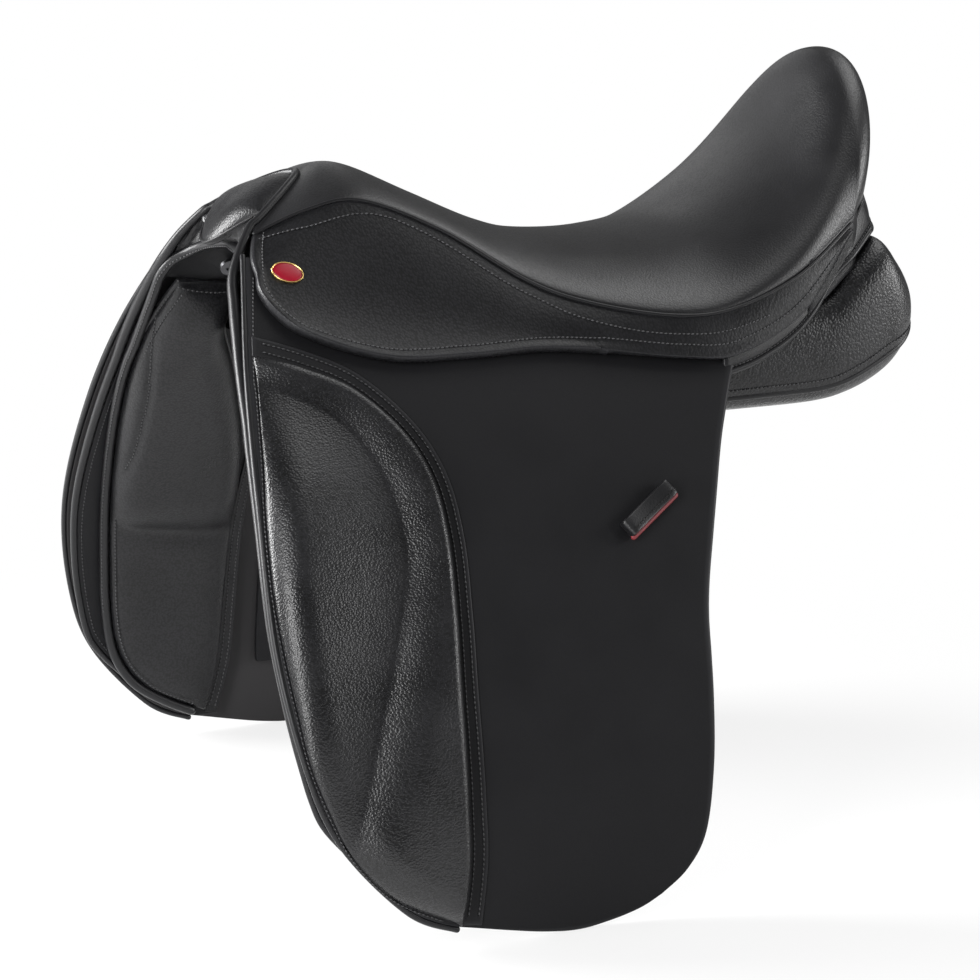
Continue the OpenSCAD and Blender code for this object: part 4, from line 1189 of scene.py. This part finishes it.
# %% Knee-pad binding
BAND_ROWS, BAND_TOP, BAND_WIDTHS = 170, (-207.5, 56.8), [(0, 10.5), (0.5, 10.5), (1, 12.5)]
BAND_IN, BAND_T, BAND_LOW, ROW_IN, ROW_EDGE, ROW_OVER = 0.6, 1.5, 0.05, 3.4, 2.4, 0.25
FRONT_ROW_TOP, FRONT_ROW_IN, FRONT_ROW_OVER = [(-192.5, 98), (-200, 78)], -1.6, 0.4
band_line = even_curve([BAND_TOP] + PAD_REAR[1:], BAND_ROWS)
band_aside = shift_aside(band_line, 1) - band_line
band_wide = read_off(BAND_WIDTHS, np.linspace(0, 1, BAND_ROWS))[:, None]
band_in, band_out = band_line + BAND_IN * band_aside, band_line + band_wide * band_aside
band_plan = between(band_in, band_out, np.linspace(0, 1, 9))
band_rows = [(band_line + d * band_aside)[3:-3] for d in (ROW_IN, band_wide - ROW_EDGE)]
front_row = even_curve(np.concatenate([FRONT_ROW_TOP, shift_aside(pad_fore, FRONT_ROW_IN)[4:-2:6]]), 200)
pad_seams = [skin_seam(line, BAND_T + ROW_OVER) for line in band_rows] + [skin_seam(front_row, FRONT_ROW_OVER)]
for side, s in SIDES.items():
    band = pillow(
        f"{side}_knee_pad_band", lay(band_plan, BAND_T), lay(band_plan, BAND_LOW), flap_leather, s, rim=3
    )
    with_flap(band, side)
    rows = sew(f"{side}_knee_pad_stitching", pad_seams, dark_thread, s)
    with_flap(rows, side)
print("knee-pad bands sewn")

# %% [markdown]
# ## Keeper
# A short loop on the flap holds the end of the stirrup leather. It is a strip bent into a flat ring, sewn
# down at its ends and sagging a little between them, with a row of needle holes and a red lining that shows
# along its lower edge.

# %% Keeper
KEEPER_Y, KEEPER_Z, KEEPER_TURN = 20.5, -43, math.radians(35)
KEEPER_L, KEEPER_W, KEEPER_T, KEEPER_GAP, KEEPER_DIP = 44, 11, 2, 4.8, 2.2
LOOP_POWERS, LOOP_POINTS = (0.22, 0.5), 120
STRIP_POWERS, STRIP_POINTS = (0.3, 0.5), 24
LINING_R, LINING_OUT, LINING_OVER, LINING_REST = 1.8, 3.2, 0.4, 1
HOLES_LOW, HOLES_REST, HOLES_OVER = 0.24, 4, 0.2
HOLE_ROW = {"pitch": 4.6, "length": 2.4, "width": 1.0}
keeper_at = on_skin(KEEPER_Y, KEEPER_Z, 0.0)
keeper_out = skin_way(KEEPER_Z)
level_y = np.array([0, 1.0, 0])
up_slope = np.cross(level_y, keeper_out) * np.sign(np.cross(level_y, keeper_out)[2])
keeper_long = math.cos(KEEPER_TURN) * level_y + math.sin(KEEPER_TURN) * up_slope
keeper_wide = -math.sin(KEEPER_TURN) * level_y + math.cos(KEEPER_TURN) * up_slope
keeper_h = KEEPER_GAP + 2 * KEEPER_T


def in_keeper(long, wide, out):
    at = keeper_at
    for far, way in ((long, keeper_long), (wide, keeper_wide), (out, keeper_out)):
        at = at + np.asarray(far)[..., None] * way
    return at


def blunt(wave, power):
    """A sine or cosine raised to a power with its sign kept, which squares up a round."""
    return np.sign(wave) * np.abs(wave) ** power


def squared_round(half_wide, half_high, powers, count):
    """The points of a round, squared up by two powers."""
    turn = np.linspace(0, 2 * np.pi, count, endpoint=False)
    return blunt(np.cos(turn), powers[0]) * half_wide, blunt(np.sin(turn), powers[1]) * half_high


def keeper_dip(long):
    """How far the loop sags towards the flap between its ends."""
    return KEEPER_DIP * np.cos(np.pi * np.clip(long / KEEPER_L, -0.5, 0.5)) ** 2


def along_keeper(rest, count):
    return np.linspace(-KEEPER_L / 2 + rest, KEEPER_L / 2 - rest, count)


print("keeper at", np.round(keeper_at, 1))

# %% [markdown]
# ## Keeper loop
# The loop sweeps the strip's section round a flat ring. The lining and the row of needle holes run along it.

# %% Keeper loop
loop_rise = (keeper_h - KEEPER_T) / 2
ring_x, ring_z = squared_round(KEEPER_L / 2 - KEEPER_T / 2, loop_rise, LOOP_POWERS, LOOP_POINTS)
ring_z = loop_rise + ring_z
ring_z = ring_z - keeper_dip(ring_x) * (ring_z > keeper_h / 2)
ring_way = unit(np.stack([np.gradient(ring_z), -np.gradient(ring_x)], -1))
strip_w, strip_t = squared_round(KEEPER_W / 2, KEEPER_T / 2, STRIP_POWERS, STRIP_POINTS)
keeper_points = in_keeper(
    ring_x[:, None] + ring_way[:, :1] * strip_t,
    np.broadcast_to(strip_w, (LOOP_POINTS, STRIP_POINTS)),
    LAY + KEEPER_T / 2 + ring_z[:, None] + ring_way[:, 1:] * strip_t,
)
ring_faces = grid_faces(LOOP_POINTS + 1, STRIP_POINTS, wrap=True)
ring_faces = [tuple(v % (STRIP_POINTS * LOOP_POINTS) for v in f) for f in ring_faces]
lining_long, row_long = along_keeper(LINING_REST, 30), along_keeper(HOLES_REST, 60)
lining_path = in_keeper(lining_long, 0 * lining_long - KEEPER_W / 2 - LINING_OVER, 0 * lining_long + LINING_OUT)
row_over = LAY + keeper_h + HOLES_OVER - keeper_dip(row_long)
hole_seams = [(in_keeper(row_long, 0 * row_long - KEEPER_W * HOLES_LOW, row_over), keeper_out)]
for side, s in SIDES.items():
    body = f"{side}_flap_body"
    keeper = make_piece(f"{side}_keeper_loop", sided(keeper_points, s), ring_faces, seat_leather)
    lining = tube(f"{side}_keeper_red_lining", lining_path, LINING_R, red_leather, s, around=12)
    # The keeper's needle holes are near-black spindles, painted shade inside the holes.
    rows = sew(f"{side}_keeper_stitching", hole_seams, needle_hole_shade, s, **HOLE_ROW)
    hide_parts(f"{side}_keeper")
    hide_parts(f"{side}_keeper_lining")
    for part, slot in ((keeper, "flap_leather"), (lining, "red_leather"), (rows, "flap_leather")):
        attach(part, body)
print("keepers sewn on")

# %% [markdown]
# ## Sweat flaps
# Under each flap lies a thinner sweat flap, sewn to the panel. Its inner face shows on the far side of the
# photograph: a row of stitches near its edge and a folded binding along its rear edge.

# %% Sweat flap
SWEAT_REAR = [
    (-146, 48), (-106, 32), (-96, 0), (-98, -50), (-102, -115), (-103, -180), (-106, -225), (-116, -266),
]
SWEAT_SPAN, SWEAT_ROWS = (-267, 72), 110
STRIP_W, STRIP_T, STRIP_GAP, STRIP_ROWS, EDGE_ROW_IN = 8, 1.5, 0.05, (-1.8, -6.2), 2.5
SWEAT_IN = SWEAT_D - SWEAT_T
sweat_fore = within(shift_aside(beside_roll(flap_fine), SWEAT_ROLL_R), SWEAT_SPAN)
sweat_fore, sweat_aft = even_curve(sweat_fore[::4], SWEAT_ROWS), even_curve(SWEAT_REAR, SWEAT_ROWS)
sweat_plan = between(sweat_fore, sweat_aft, np.linspace(0, 1, 40))
sweat_face, sweat_back = lay(sweat_plan, SWEAT_D), lay(sweat_plan, SWEAT_IN)
strip_line = even_curve(SWEAT_REAR[1:], SWEAT_ROWS)
strip_plan = between(strip_line, shift_aside(strip_line, -STRIP_W), np.linspace(0, 1, 7))
strip_face, strip_back = lay(strip_plan, SWEAT_IN - STRIP_GAP), lay(strip_plan, SWEAT_IN - STRIP_T)
inner_seams = [skin_seam(shift_aside(strip_line[2:-2], d), SWEAT_IN - STRIP_T, -1) for d in STRIP_ROWS]
inner_seams.append(skin_seam(shift_aside(sweat_fore, EDGE_ROW_IN)[2:-2], SWEAT_IN, -1))
for side, s in SIDES.items():
    parts = [
        pillow(f"{side}_sweat_flap_leather", sweat_face, sweat_back, flap_leather, s, rim=3),
        pillow(f"{side}_sweat_flap_binding", strip_face, strip_back, skirt_leather, s, rim=3),
        sew(f"{side}_sweat_flap_stitching", inner_seams, dark_thread, s),
    ]
    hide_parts(f"{side}_sweat_flap")
    for part in parts:
        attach(part, "saddle")
print("sweat flaps sewn")

# %% [markdown]
# ## Front panels
# The inner face of each sweat flap carries a stuffed pad that lies behind the horse's shoulder. It is crowned,
# with a shallow crease across it where the stuffing is parted, a sewn part line along its front, and a piped
# edge.

# %% Front panel
FRONT_PANEL_D = SWEAT_IN - LAY
PANEL_FORE = [
    (-191, 90), (-200, 66), (-205, 44), (-208, 10), (-206, -55), (-201, -130), (-193, -200), (-172, -236),
    (-134, -258),
]
PANEL_AFT = [
    (-150, 86), (-150, 66), (-148, 50), (-132, 15), (-114, -45), (-112, -112), (-113, -178), (-116, -226),
    (-124, -258),
]
PANEL_T, PANEL_SEAM, PANEL_LAST = 24, 4.0, len(PANEL_FORE) - 1
FORE_REACH, TOP_FORE_REACH, FORE_CHANGE, AFT_REACH, TOP_REACH = 24, 50, (10, 60), 24, 26
CREASE_Z, CREASE_LEAN, CREASE_W, CREASE_H, CREASE_MIDDLE_Y = -108, 0.16, 8, 3.5, -162
SHOULDER_SEAM = [
    (-199, 86), (-199.5, 72), (-200.5, 55), (-198.5, 34), (-196.5, 8), (-197, -24), (-200, -48), (-206, -62),
]
THIN_Z, THIN_REACH, THIN_SHARE = -122, 46, 0.5
SEAM_DEEP, SEAM_W = 2.8, 3.0
panel_rows = np.linspace(0, PANEL_LAST, 150)
panel_fore, panel_aft = flow(PANEL_FORE, panel_rows), flow(PANEL_AFT, panel_rows)
panel_plan = between(panel_fore, panel_aft, crowded(64))
panel_y, panel_z = panel_plan[..., 0], panel_plan[..., 1]
panel_top = mix(panel_fore[0], panel_aft[0], np.linspace(0, 1, 20)[:, None])
fore_reach = mix(FORE_REACH, TOP_FORE_REACH, ramp(panel_z, *FORE_CHANGE))
panel_rise = 1
for line, reach in ((panel_fore, fore_reach), (panel_aft, AFT_REACH), (panel_top, TOP_REACH)):
    panel_rise = panel_rise * swell_up(np.abs(nearest(panel_plan, line)) / reach)
shoulder_line = even_curve(SHOULDER_SEAM, 80)
crease_at = CREASE_Z - CREASE_LEAN * (panel_y - CREASE_MIDDLE_Y)
parted = CREASE_H * np.exp(-(((panel_z - crease_at) / CREASE_W) ** 2))
parted = parted + SEAM_DEEP * np.exp(-((nearest(panel_plan, shoulder_line) / SEAM_W) ** 2))
panel_full = (PANEL_T - PANEL_SEAM) * mix(THIN_SHARE, 1, ramp(panel_z, THIN_Z, THIN_REACH)) - parted
panel_high = PANEL_SEAM + panel_full * panel_rise
panel_face, panel_crown = lay(panel_plan, FRONT_PANEL_D), lay(panel_plan, FRONT_PANEL_D - panel_high)
print("front panels:", round(float(panel_high.max()), 1), "mm thick")

# %% [markdown]
# ## Sewing the front panels
# Thread shows along the part line, across the panel's top and beside its piped edge.

# %% Sewing the front panels
PART_SPAN, TOP_ROW, TOP_REST, CROWN_OVER = (-50, 80), 2, 6, 0.2
PIPED_ROW_IN, PIPED_ROW_DEEP = 2.5, 6.5
crown_way = normals_of(panel_crown)
crown_way = crown_way * -np.sign(crown_way[..., 0].mean())
seam_rows = np.flatnonzero((panel_fore[:, 1] > PART_SPAN[0]) & (panel_fore[:, 1] < PART_SPAN[1]))
seam_cols = np.abs(nearest(panel_plan[seam_rows], shoulder_line)).argmin(-1)
panel_seams = []
for spots in ((seam_rows, seam_cols), (TOP_ROW, slice(TOP_REST, -TOP_REST))):
    panel_seams.append((panel_crown[spots] + CROWN_OVER * crown_way[spots], crown_way[spots]))
piped_row = shift_aside(panel_fore, PIPED_ROW_IN)[3:-3]
panel_seams.append(skin_seam(piped_row, FRONT_PANEL_D - PANEL_SEAM - PIPED_ROW_DEEP, -1))
for side, s in SIDES.items():
    pad = pillow(f"{side}_front_panel_pad", panel_face, panel_crown, front_leather, s)
    rows = sew(f"{side}_front_panel_stitching", panel_seams, dark_thread, s)
    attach(rows, "saddle")
    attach(pad, "saddle")
    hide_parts(f"{side}_front_panel")
print("front panels sewn:", len(panel_seams), "rows a side")

# %% [markdown]
# ## Panels
# Two long stuffed panels lie on either side of the channel and carry the saddle on the horse's back. They are
# lofted through rounded sections, full in the middle and swept up under the cantle, with a piped seam.

# %% Panel sections
PANEL_STATIONS = np.array(  # y, inner and outer x, low and high z
    [
        (-146, 40, 92, 20, 77.2), (-100, 36, 98, 11, 70), (-40, 36, 104, 1, 66), (20, 36, 110, -4, 62),
        (80, 34, 116, -5, 62), (140, 34, 117, -5, 68), (190, 34, 116, -4, 72), (215, 35, 114, 0, 90),
        (238, 38, 110, 8, 103), (252, 42, 106, 17, 91), (263, 49, 97, 29, 76), (269.5, 60, 84, 42, 60),
    ],
    float,
)
PANEL_END, PANEL_RINGS, PANEL_ROUND = len(PANEL_STATIONS) - 1, 130, 56
MID_POWER, REAR_POWER, POWER_CHANGE = 0.62, 0.85, (7, 3.5)
SEAM_TURN, ROW_TURN = math.radians(122), 0.22
PIPING_R, PIPING_OUT, PIPING_REAR, SECTION_LAG = 2.4, -1.4, 2.2, 6
FIRST_T, LAST_T = 3.2, 10.8
seam_t = np.linspace(FIRST_T, LAST_T, 100)


def panel_point(t, a):
    """A point on the panel at station t, a radians round its section from the top."""
    t, a = np.broadcast_arrays(np.asarray(t, float), np.asarray(a, float))
    p = flow(PANEL_STATIONS, t)
    power = mix(MID_POWER, REAR_POWER, ramp(t, *POWER_CHANGE))
    wide, high = (0.5 + 0.5 * blunt(wave, power) for wave in (np.sin(a), np.cos(a)))
    return np.stack([mix(p[..., 1], p[..., 2], wide), p[..., 0], mix(p[..., 3], p[..., 4], high)], -1)


def panel_seam(turn):
    """A line along the panel at a turn of its section, with its way outwards."""
    p = flow(PANEL_STATIONS, seam_t)
    middle = np.stack([(p[:, 1] + p[:, 2]) / 2, p[:, 0] - SECTION_LAG, (p[:, 3] + p[:, 4]) / 2], -1)
    edge = panel_point(seam_t, turn)
    return edge, unit(edge - middle)


print("panel:", PANEL_END + 1, "sections")

# %% [markdown]
# ## Stuffed panels
# The piping runs along the outer seam, round the rear end and back along the inner one, and a row of stitches
# lies above it.

# %% Stuffed panels
panel_turns = np.linspace(0, 2 * np.pi, PANEL_ROUND, endpoint=False)
panel_skin = panel_point(*np.meshgrid(np.linspace(0, PANEL_END, PANEL_RINGS), panel_turns, indexing="ij"))
panel_faces = grid_faces(PANEL_RINGS, PANEL_ROUND, wrap=True)
panel_faces += [tuple(ring * PANEL_ROUND + k for k in range(PANEL_ROUND)) for ring in (0, PANEL_RINGS - 1)]
seam_sides = map(panel_seam, (SEAM_TURN, 2 * np.pi - SEAM_TURN))
outer_seam, inner_seam = (edge + PIPING_OUT * way for edge, way in seam_sides)
rear_mark = mix(outer_seam[-1], inner_seam[-1], 0.5) + [0, PIPING_REAR, 0]
piping_path = even_curve(np.concatenate([outer_seam[3::8], [rear_mark], inner_seam[3::8][::-1]]), 240)
above_edge, above_out = panel_seam(SEAM_TURN - ROW_TURN)
above_seams = [(above_edge + THREAD_OVER * above_out, above_out)]
for side, s in SIDES.items():
    parts = [
        make_piece(f"{side}_panel_pad", sided(panel_skin, s), panel_faces, panel_leather),
        tube(f"{side}_panel_piping", piping_path, PIPING_R, roll_leather, s, around=18),
        sew(f"{side}_panel_stitching", above_seams, dark_thread, s),
    ]
    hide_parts(f"{side}_panel")
    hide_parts(f"{side}_panel_roll")
    for part, slot in zip(parts, ("panel_leather", "seat_leather", "panel_leather")):
        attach(part, "saddle")
print("panels stuffed")

# %% [markdown]
# ## Arch piping
# Seen from the front, one piping runs up from the left panel, over the arch and down to the right panel, with
# a row of stitches under it.

# %% Arch piping
ARCH_FRONT = [
    (0, -180, 111), (20, -181, 108.4), (40, -184, 104.3), (55, -190, 98.4), (64, -198, 92), (72, -203, 82),
    (80, -205, 70),
]
ARCH_R, ARCH_IN, ARCH_DEEP, ARCH_LOW_Z = 3.4, 3.2, 4, 46
ARCH_ROW_WAY, ARCH_TURN, ARCH_ROW_OVER, ARCH_ROW_REST = [-0.5, -0.6, -0.62], 20, 0.3, 30
fore_line = shift_aside(flow(PANEL_FORE, np.linspace(1, PANEL_LAST, 43)), -ARCH_IN - 2 * LAY)
fore_line = fore_line[fore_line[:, 1] < ARCH_LOW_Z]
down_part = lay(fore_line, FRONT_PANEL_D - ARCH_DEEP)
arch_path = across_middle(even_curve(np.concatenate([ARCH_FRONT, down_part[::3]]), 130))
arch_piping = tube("arch_piping", arch_path, ARCH_R, roll_leather)
arch_lean = np.tanh(arch_path[:, 0] / ARCH_TURN)
arch_way = unit(np.stack([arch_lean, 1 + 0 * arch_lean, 1 + 0 * arch_lean], -1) * ARCH_ROW_WAY)
arch_row = arch_path + (ARCH_R + ARCH_ROW_OVER) * arch_way
kept = slice(ARCH_ROW_REST, -ARCH_ROW_REST)
arch_rows = sew("arch_stitching", [(arch_row[kept], arch_way[kept])], dark_thread)
for part in (arch_piping, arch_rows):
    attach(part, "saddle")
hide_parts("panel_front_roll")
print("arch piping:", len(arch_path), "points")

# %% [markdown]
# ## Pommel roll
# The pommel's soft facing fills a crescent: above it the cord, below it a line that hangs low in the middle
# and meets the cord at both sides. A strip of leather closes what is left between it and the arch.

# %% Pommel roll
ROLL_END, ROLL_PUFF, ROLL_LOW, ROLL_FORE_Y = 0.58, 12.5, 112.6, -197
ROLL_ROWS, ROLL_COLS = 90, 40
TIP_SHIFT, HIGH_SHIFT, BACK_SHIFT = [-1, -2.6, 0.3], [0, -2.5, -0.8], [0, 4.5, -1.0]
SMILE_BEND, PUFF_POWERS, PUFF_WAY = 1.25, (0.75, 0.8), np.array([0, -0.58, 0.81])
EDGE_SHIFT, EDGE_R = [0, -1.0, -0.4], 0.8
roll_v, roll_t = np.meshgrid(np.linspace(-1, 1, ROLL_ROWS), np.linspace(0, 1, ROLL_COLS), indexing="ij")
roll_tip = pommel_edge(np.array([ROLL_END]))[0] + TIP_SHIFT
roll_high = even_curve(pommel_edge(ROLL_END * np.linspace(-1, 1, 5)), ROLL_ROWS)[:, None] + HIGH_SHIFT
smile_y = ROLL_FORE_Y + (roll_tip[1] - ROLL_FORE_Y) * roll_v**2
smile_rise = SMILE_BEND * roll_v**2 - (SMILE_BEND - 1) * roll_v**4
smile = np.stack([roll_tip[0] * roll_v, smile_y, ROLL_LOW + (roll_tip[2] - ROLL_LOW) * smile_rise], -1)
puff = np.sin(np.pi * roll_t) ** PUFF_POWERS[0] * np.cos(np.pi / 2 * roll_v) ** PUFF_POWERS[1]
roll_plain = mix(roll_high, smile, roll_t[..., None])
roll_face = roll_plain + ROLL_PUFF * puff[..., None] * PUFF_WAY
pommel_roll = pillow("pommel_roll", roll_face, roll_plain + BACK_SHIFT, front_leather, rim=3, worn=0)
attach(pommel_roll, "saddle")
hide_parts("pommel_facing")
roll_edge = tube("pommel_roll_piping", smile[4:-4, 0] + EDGE_SHIFT, EDGE_R, roll_leather, around=10)
STRIP_U, STRIP_IN, STRIP_CORNER = np.array([0.7, 0.82]), [2, 2, 0], (54, -191.5, 111)
STRIP_ARCH, STRIP_OUT, STRIP_BACK = [0, 1.5, 3.2], [0, -0.6, 0.4], [0, 1.6, -1.2]
strip_top = seat_top(np.zeros(2), STRIP_U) - STRIP_IN
strip_high = even_curve(np.concatenate([smile[ROLL_ROWS // 2 :, 0][::8], strip_top, [STRIP_CORNER]]), 50)
strip_low = even_curve(np.array(ARCH_FRONT[:5]) + STRIP_ARCH, 50)
strip_rows = across_middle(between(strip_high, strip_low, np.linspace(0, 1, 14)))
strip = pillow("pommel_strip", strip_rows + STRIP_OUT, strip_rows + STRIP_BACK, skirt_leather, rim=2, worn=0)
for part in (roll_edge, strip):
    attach(part, "saddle")
print("pommel roll stuffed")

# %% [markdown]
# ## Arch lining and studs
# Under the arch a lining runs back to the panels, painted half as dark as the other leather as the shade under the
# arch, and two eyelet studs sit in front of it.

# %% Arch lining and studs
LINING = [(0, 110.6), (21, 105.7), (32.7, 97.5), (38.4, 91), (48, 84.5), (60, 80), (72, 77)]
LINING_COLS, LINING_REAR_Y, LINING_FALL, ARCH_LINING_T = 16, -146.0, 0.55, [0, 0, 3.0]
BEHIND_PIPING, UNDER_PIPING = 2, 1.5
lining_half = even_curve(LINING, 40)
lining_x, lining_z = np.concatenate([lining_half[:0:-1] * [-1, 1], lining_half]).T[..., None]
arch_x, arch_y, arch_z = np.transpose(ARCH_FRONT)
front_y, front_z = (np.interp(np.abs(lining_x), arch_x, v) for v in (arch_y, arch_z))
lining_q = np.linspace(0, 1, LINING_COLS)[None, :]
lining_rows = np.stack(
    [
        lining_x + 0 * lining_q,
        mix(front_y + BEHIND_PIPING, LINING_REAR_Y, lining_q),
        mix(front_z - UNDER_PIPING, lining_z, ease(lining_q / LINING_FALL)),
    ],
    -1,
)
# The lining's darker leather is painted shade under the arch.
lining = pillow("arch_lining", lining_rows, lining_rows + ARCH_LINING_T, shaded_lining_leather, rim=2)
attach(lining, "saddle")
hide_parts("panel_arch")
for name, finish in (("panel_studs", gunmetal), ("gullet_plate", steel), ("bar_rivets", steel)):
    coat(frame["nodes"][name].data, finish)
print("arch lined")

# %% [markdown]
# ## Cantle facing
# Behind, a collar of leather closes the gap between the cantle's lower edge and the panels, and runs forward
# under the skirt's hem on both sides. Its lower edge is piped and sewn, and a lining closes what is behind.

# %% Cantle facing
FACING_T, COLLAR_POINTS, COLLAR_PUFF = 3, 80, 1.2
COLLAR_HEM_S, COLLAR_U = np.array([6.8, 7.3, 7.8, 8.2, 8.6]), np.array([0.86, 0.72, 0.57, 0.42, 0.26, 0.1])
HIGH_S, HIGH_OUT, HIGH_HEM, HIGH_CORNER = 12.78, 1.8, [-5, 0, 1], (100.3, 212.5, 106.5)
LOW_OUT, LOW_DROP, LOW_HEM, LOW_CORNER = 7, [0, 0, 16], [-3.5, 0, -13], (101.8, 213.5, 91.5)
COLLAR_PIPING_R, COLLAR_PIPING_UP, COLLAR_PIPING_OUT = 2.0, [0, 0, 1.2], 0.4
COLLAR_ROW, COLLAR_ROW_OUT = 0.74, 1.3
REAR_MIDDLE, REAR_SPREAD = [0, 190, 0], [0.8, 1, 0]
INNER_S, INNER_U, INNER_OUT, INNER_UP, INNER_DROP, INNER_T = 8.2, (0.97, 0.02), 0.5, [0, 0, 2], [0, 0, 34], 1.6


def rearward(points):
    return unit((points - REAR_MIDDLE) * REAR_SPREAD)


def round_rear(line):
    """A line from the left side round the rear to the right, from its left half."""
    return np.concatenate([line, sided(line[::-1], -1)])


hem_at = flow(HEM, COLLAR_HEM_S)
back_high, back_low = seat_top(HIGH_S + 0 * COLLAR_U, COLLAR_U), seat_top(SEAT_END + 0 * COLLAR_U, COLLAR_U)
collar_high = [hem_at + HIGH_HEM, [HIGH_CORNER], back_high + HIGH_OUT * rearward(back_high)]
collar_low = [hem_at + LOW_HEM, [LOW_CORNER], back_low + LOW_OUT * rearward(back_low) - LOW_DROP]
collar_high, collar_low = (
    round_rear(even_curve(np.concatenate(line), COLLAR_POINTS)) for line in (collar_high, collar_low)
)
drop = np.linspace(0, 1, 16)
collar = between(collar_high, collar_low, drop)
drop = drop[None, :, None]
collar_way = rearward(collar)
collar_face = collar + COLLAR_PUFF * np.sin(np.pi * drop) * collar_way
band = pillow("cantle_band", collar_face, collar - FACING_T * collar_way, roll_leather, rim=3)
piping_line = collar_low + COLLAR_PIPING_UP + COLLAR_PIPING_OUT * rearward(collar_low)
band_piping = tube("cantle_band_piping", piping_line, COLLAR_PIPING_R, roll_leather, around=10)
collar_row = mix(collar_high, collar_low, COLLAR_ROW)
row_way = rearward(collar_row)
band_row = sew("cantle_band_stitching", [(collar_row + COLLAR_ROW_OUT * row_way, row_way)], dark_thread)
lining_sides = seat_edge(np.linspace(INNER_S, SEAT_END, 40))
lining_rear = seat_top(SEAT_END + np.zeros(30), np.linspace(*INNER_U, 30))
lining_line = np.concatenate([lining_sides, lining_rear])
lining_line = round_rear(lining_line + INNER_OUT * rearward(lining_line) + INNER_UP)
lining_face = lining_line[:, None] - drop * INNER_DROP
lining = pillow("cantle_lining", lining_face, lining_face - INNER_T * rearward(lining_face), skirt_leather, rim=2)
for part in (band, band_piping, band_row, lining):
    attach(part, "saddle")
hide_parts("cantle_facing")
print("cantle collar:", len(collar_high), "points")

# %% [markdown]
# ## Girth straps, tree and bars
# The straps, webs and the hidden tree keep their CAD shapes. Straps and webs are soft, so copies with welded
# and rounded edges stand for them. The tree is moulded plastic, the arch and the stirrup bars are steel.

# %% Girth straps, tree and bars
STRAP_ROUND, WEB_ROUND, SEAT_WEB_ROUND = 0.9, 0.6, 0.5
for side in SIDES:
    for which in ("front", "rear"):
        node = f"{side}_{which}_strap"
        strap = softened_copy(f"{node}_leather", node, flap_leather, STRAP_ROUND)
        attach(strap, f"{node}_body")
        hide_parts(node)
    web = softened_copy(f"{side}_girth_webbing", f"{side}_girth_web", webbing, WEB_ROUND)
    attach(web, "saddle")
    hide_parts(f"{side}_girth_web")
    for name in (f"{side}_stirrup_bar", f"{side}_bar_catch"):
        coat(frame["nodes"][name].data, steel)
seat_web = softened_copy("seat_web_bands", "seat_webbing", webbing, SEAT_WEB_ROUND)
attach(seat_web, "saddle")
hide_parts("seat_webbing")
for name in ("tree", "tree_head"):
    coat(frame["nodes"][name].data, polymer)
print("straps and tree done")

# %% [markdown]
# ## Finish
# The view layer is updated once more at the end.

# %% Finish
bpy.context.view_layer.update()
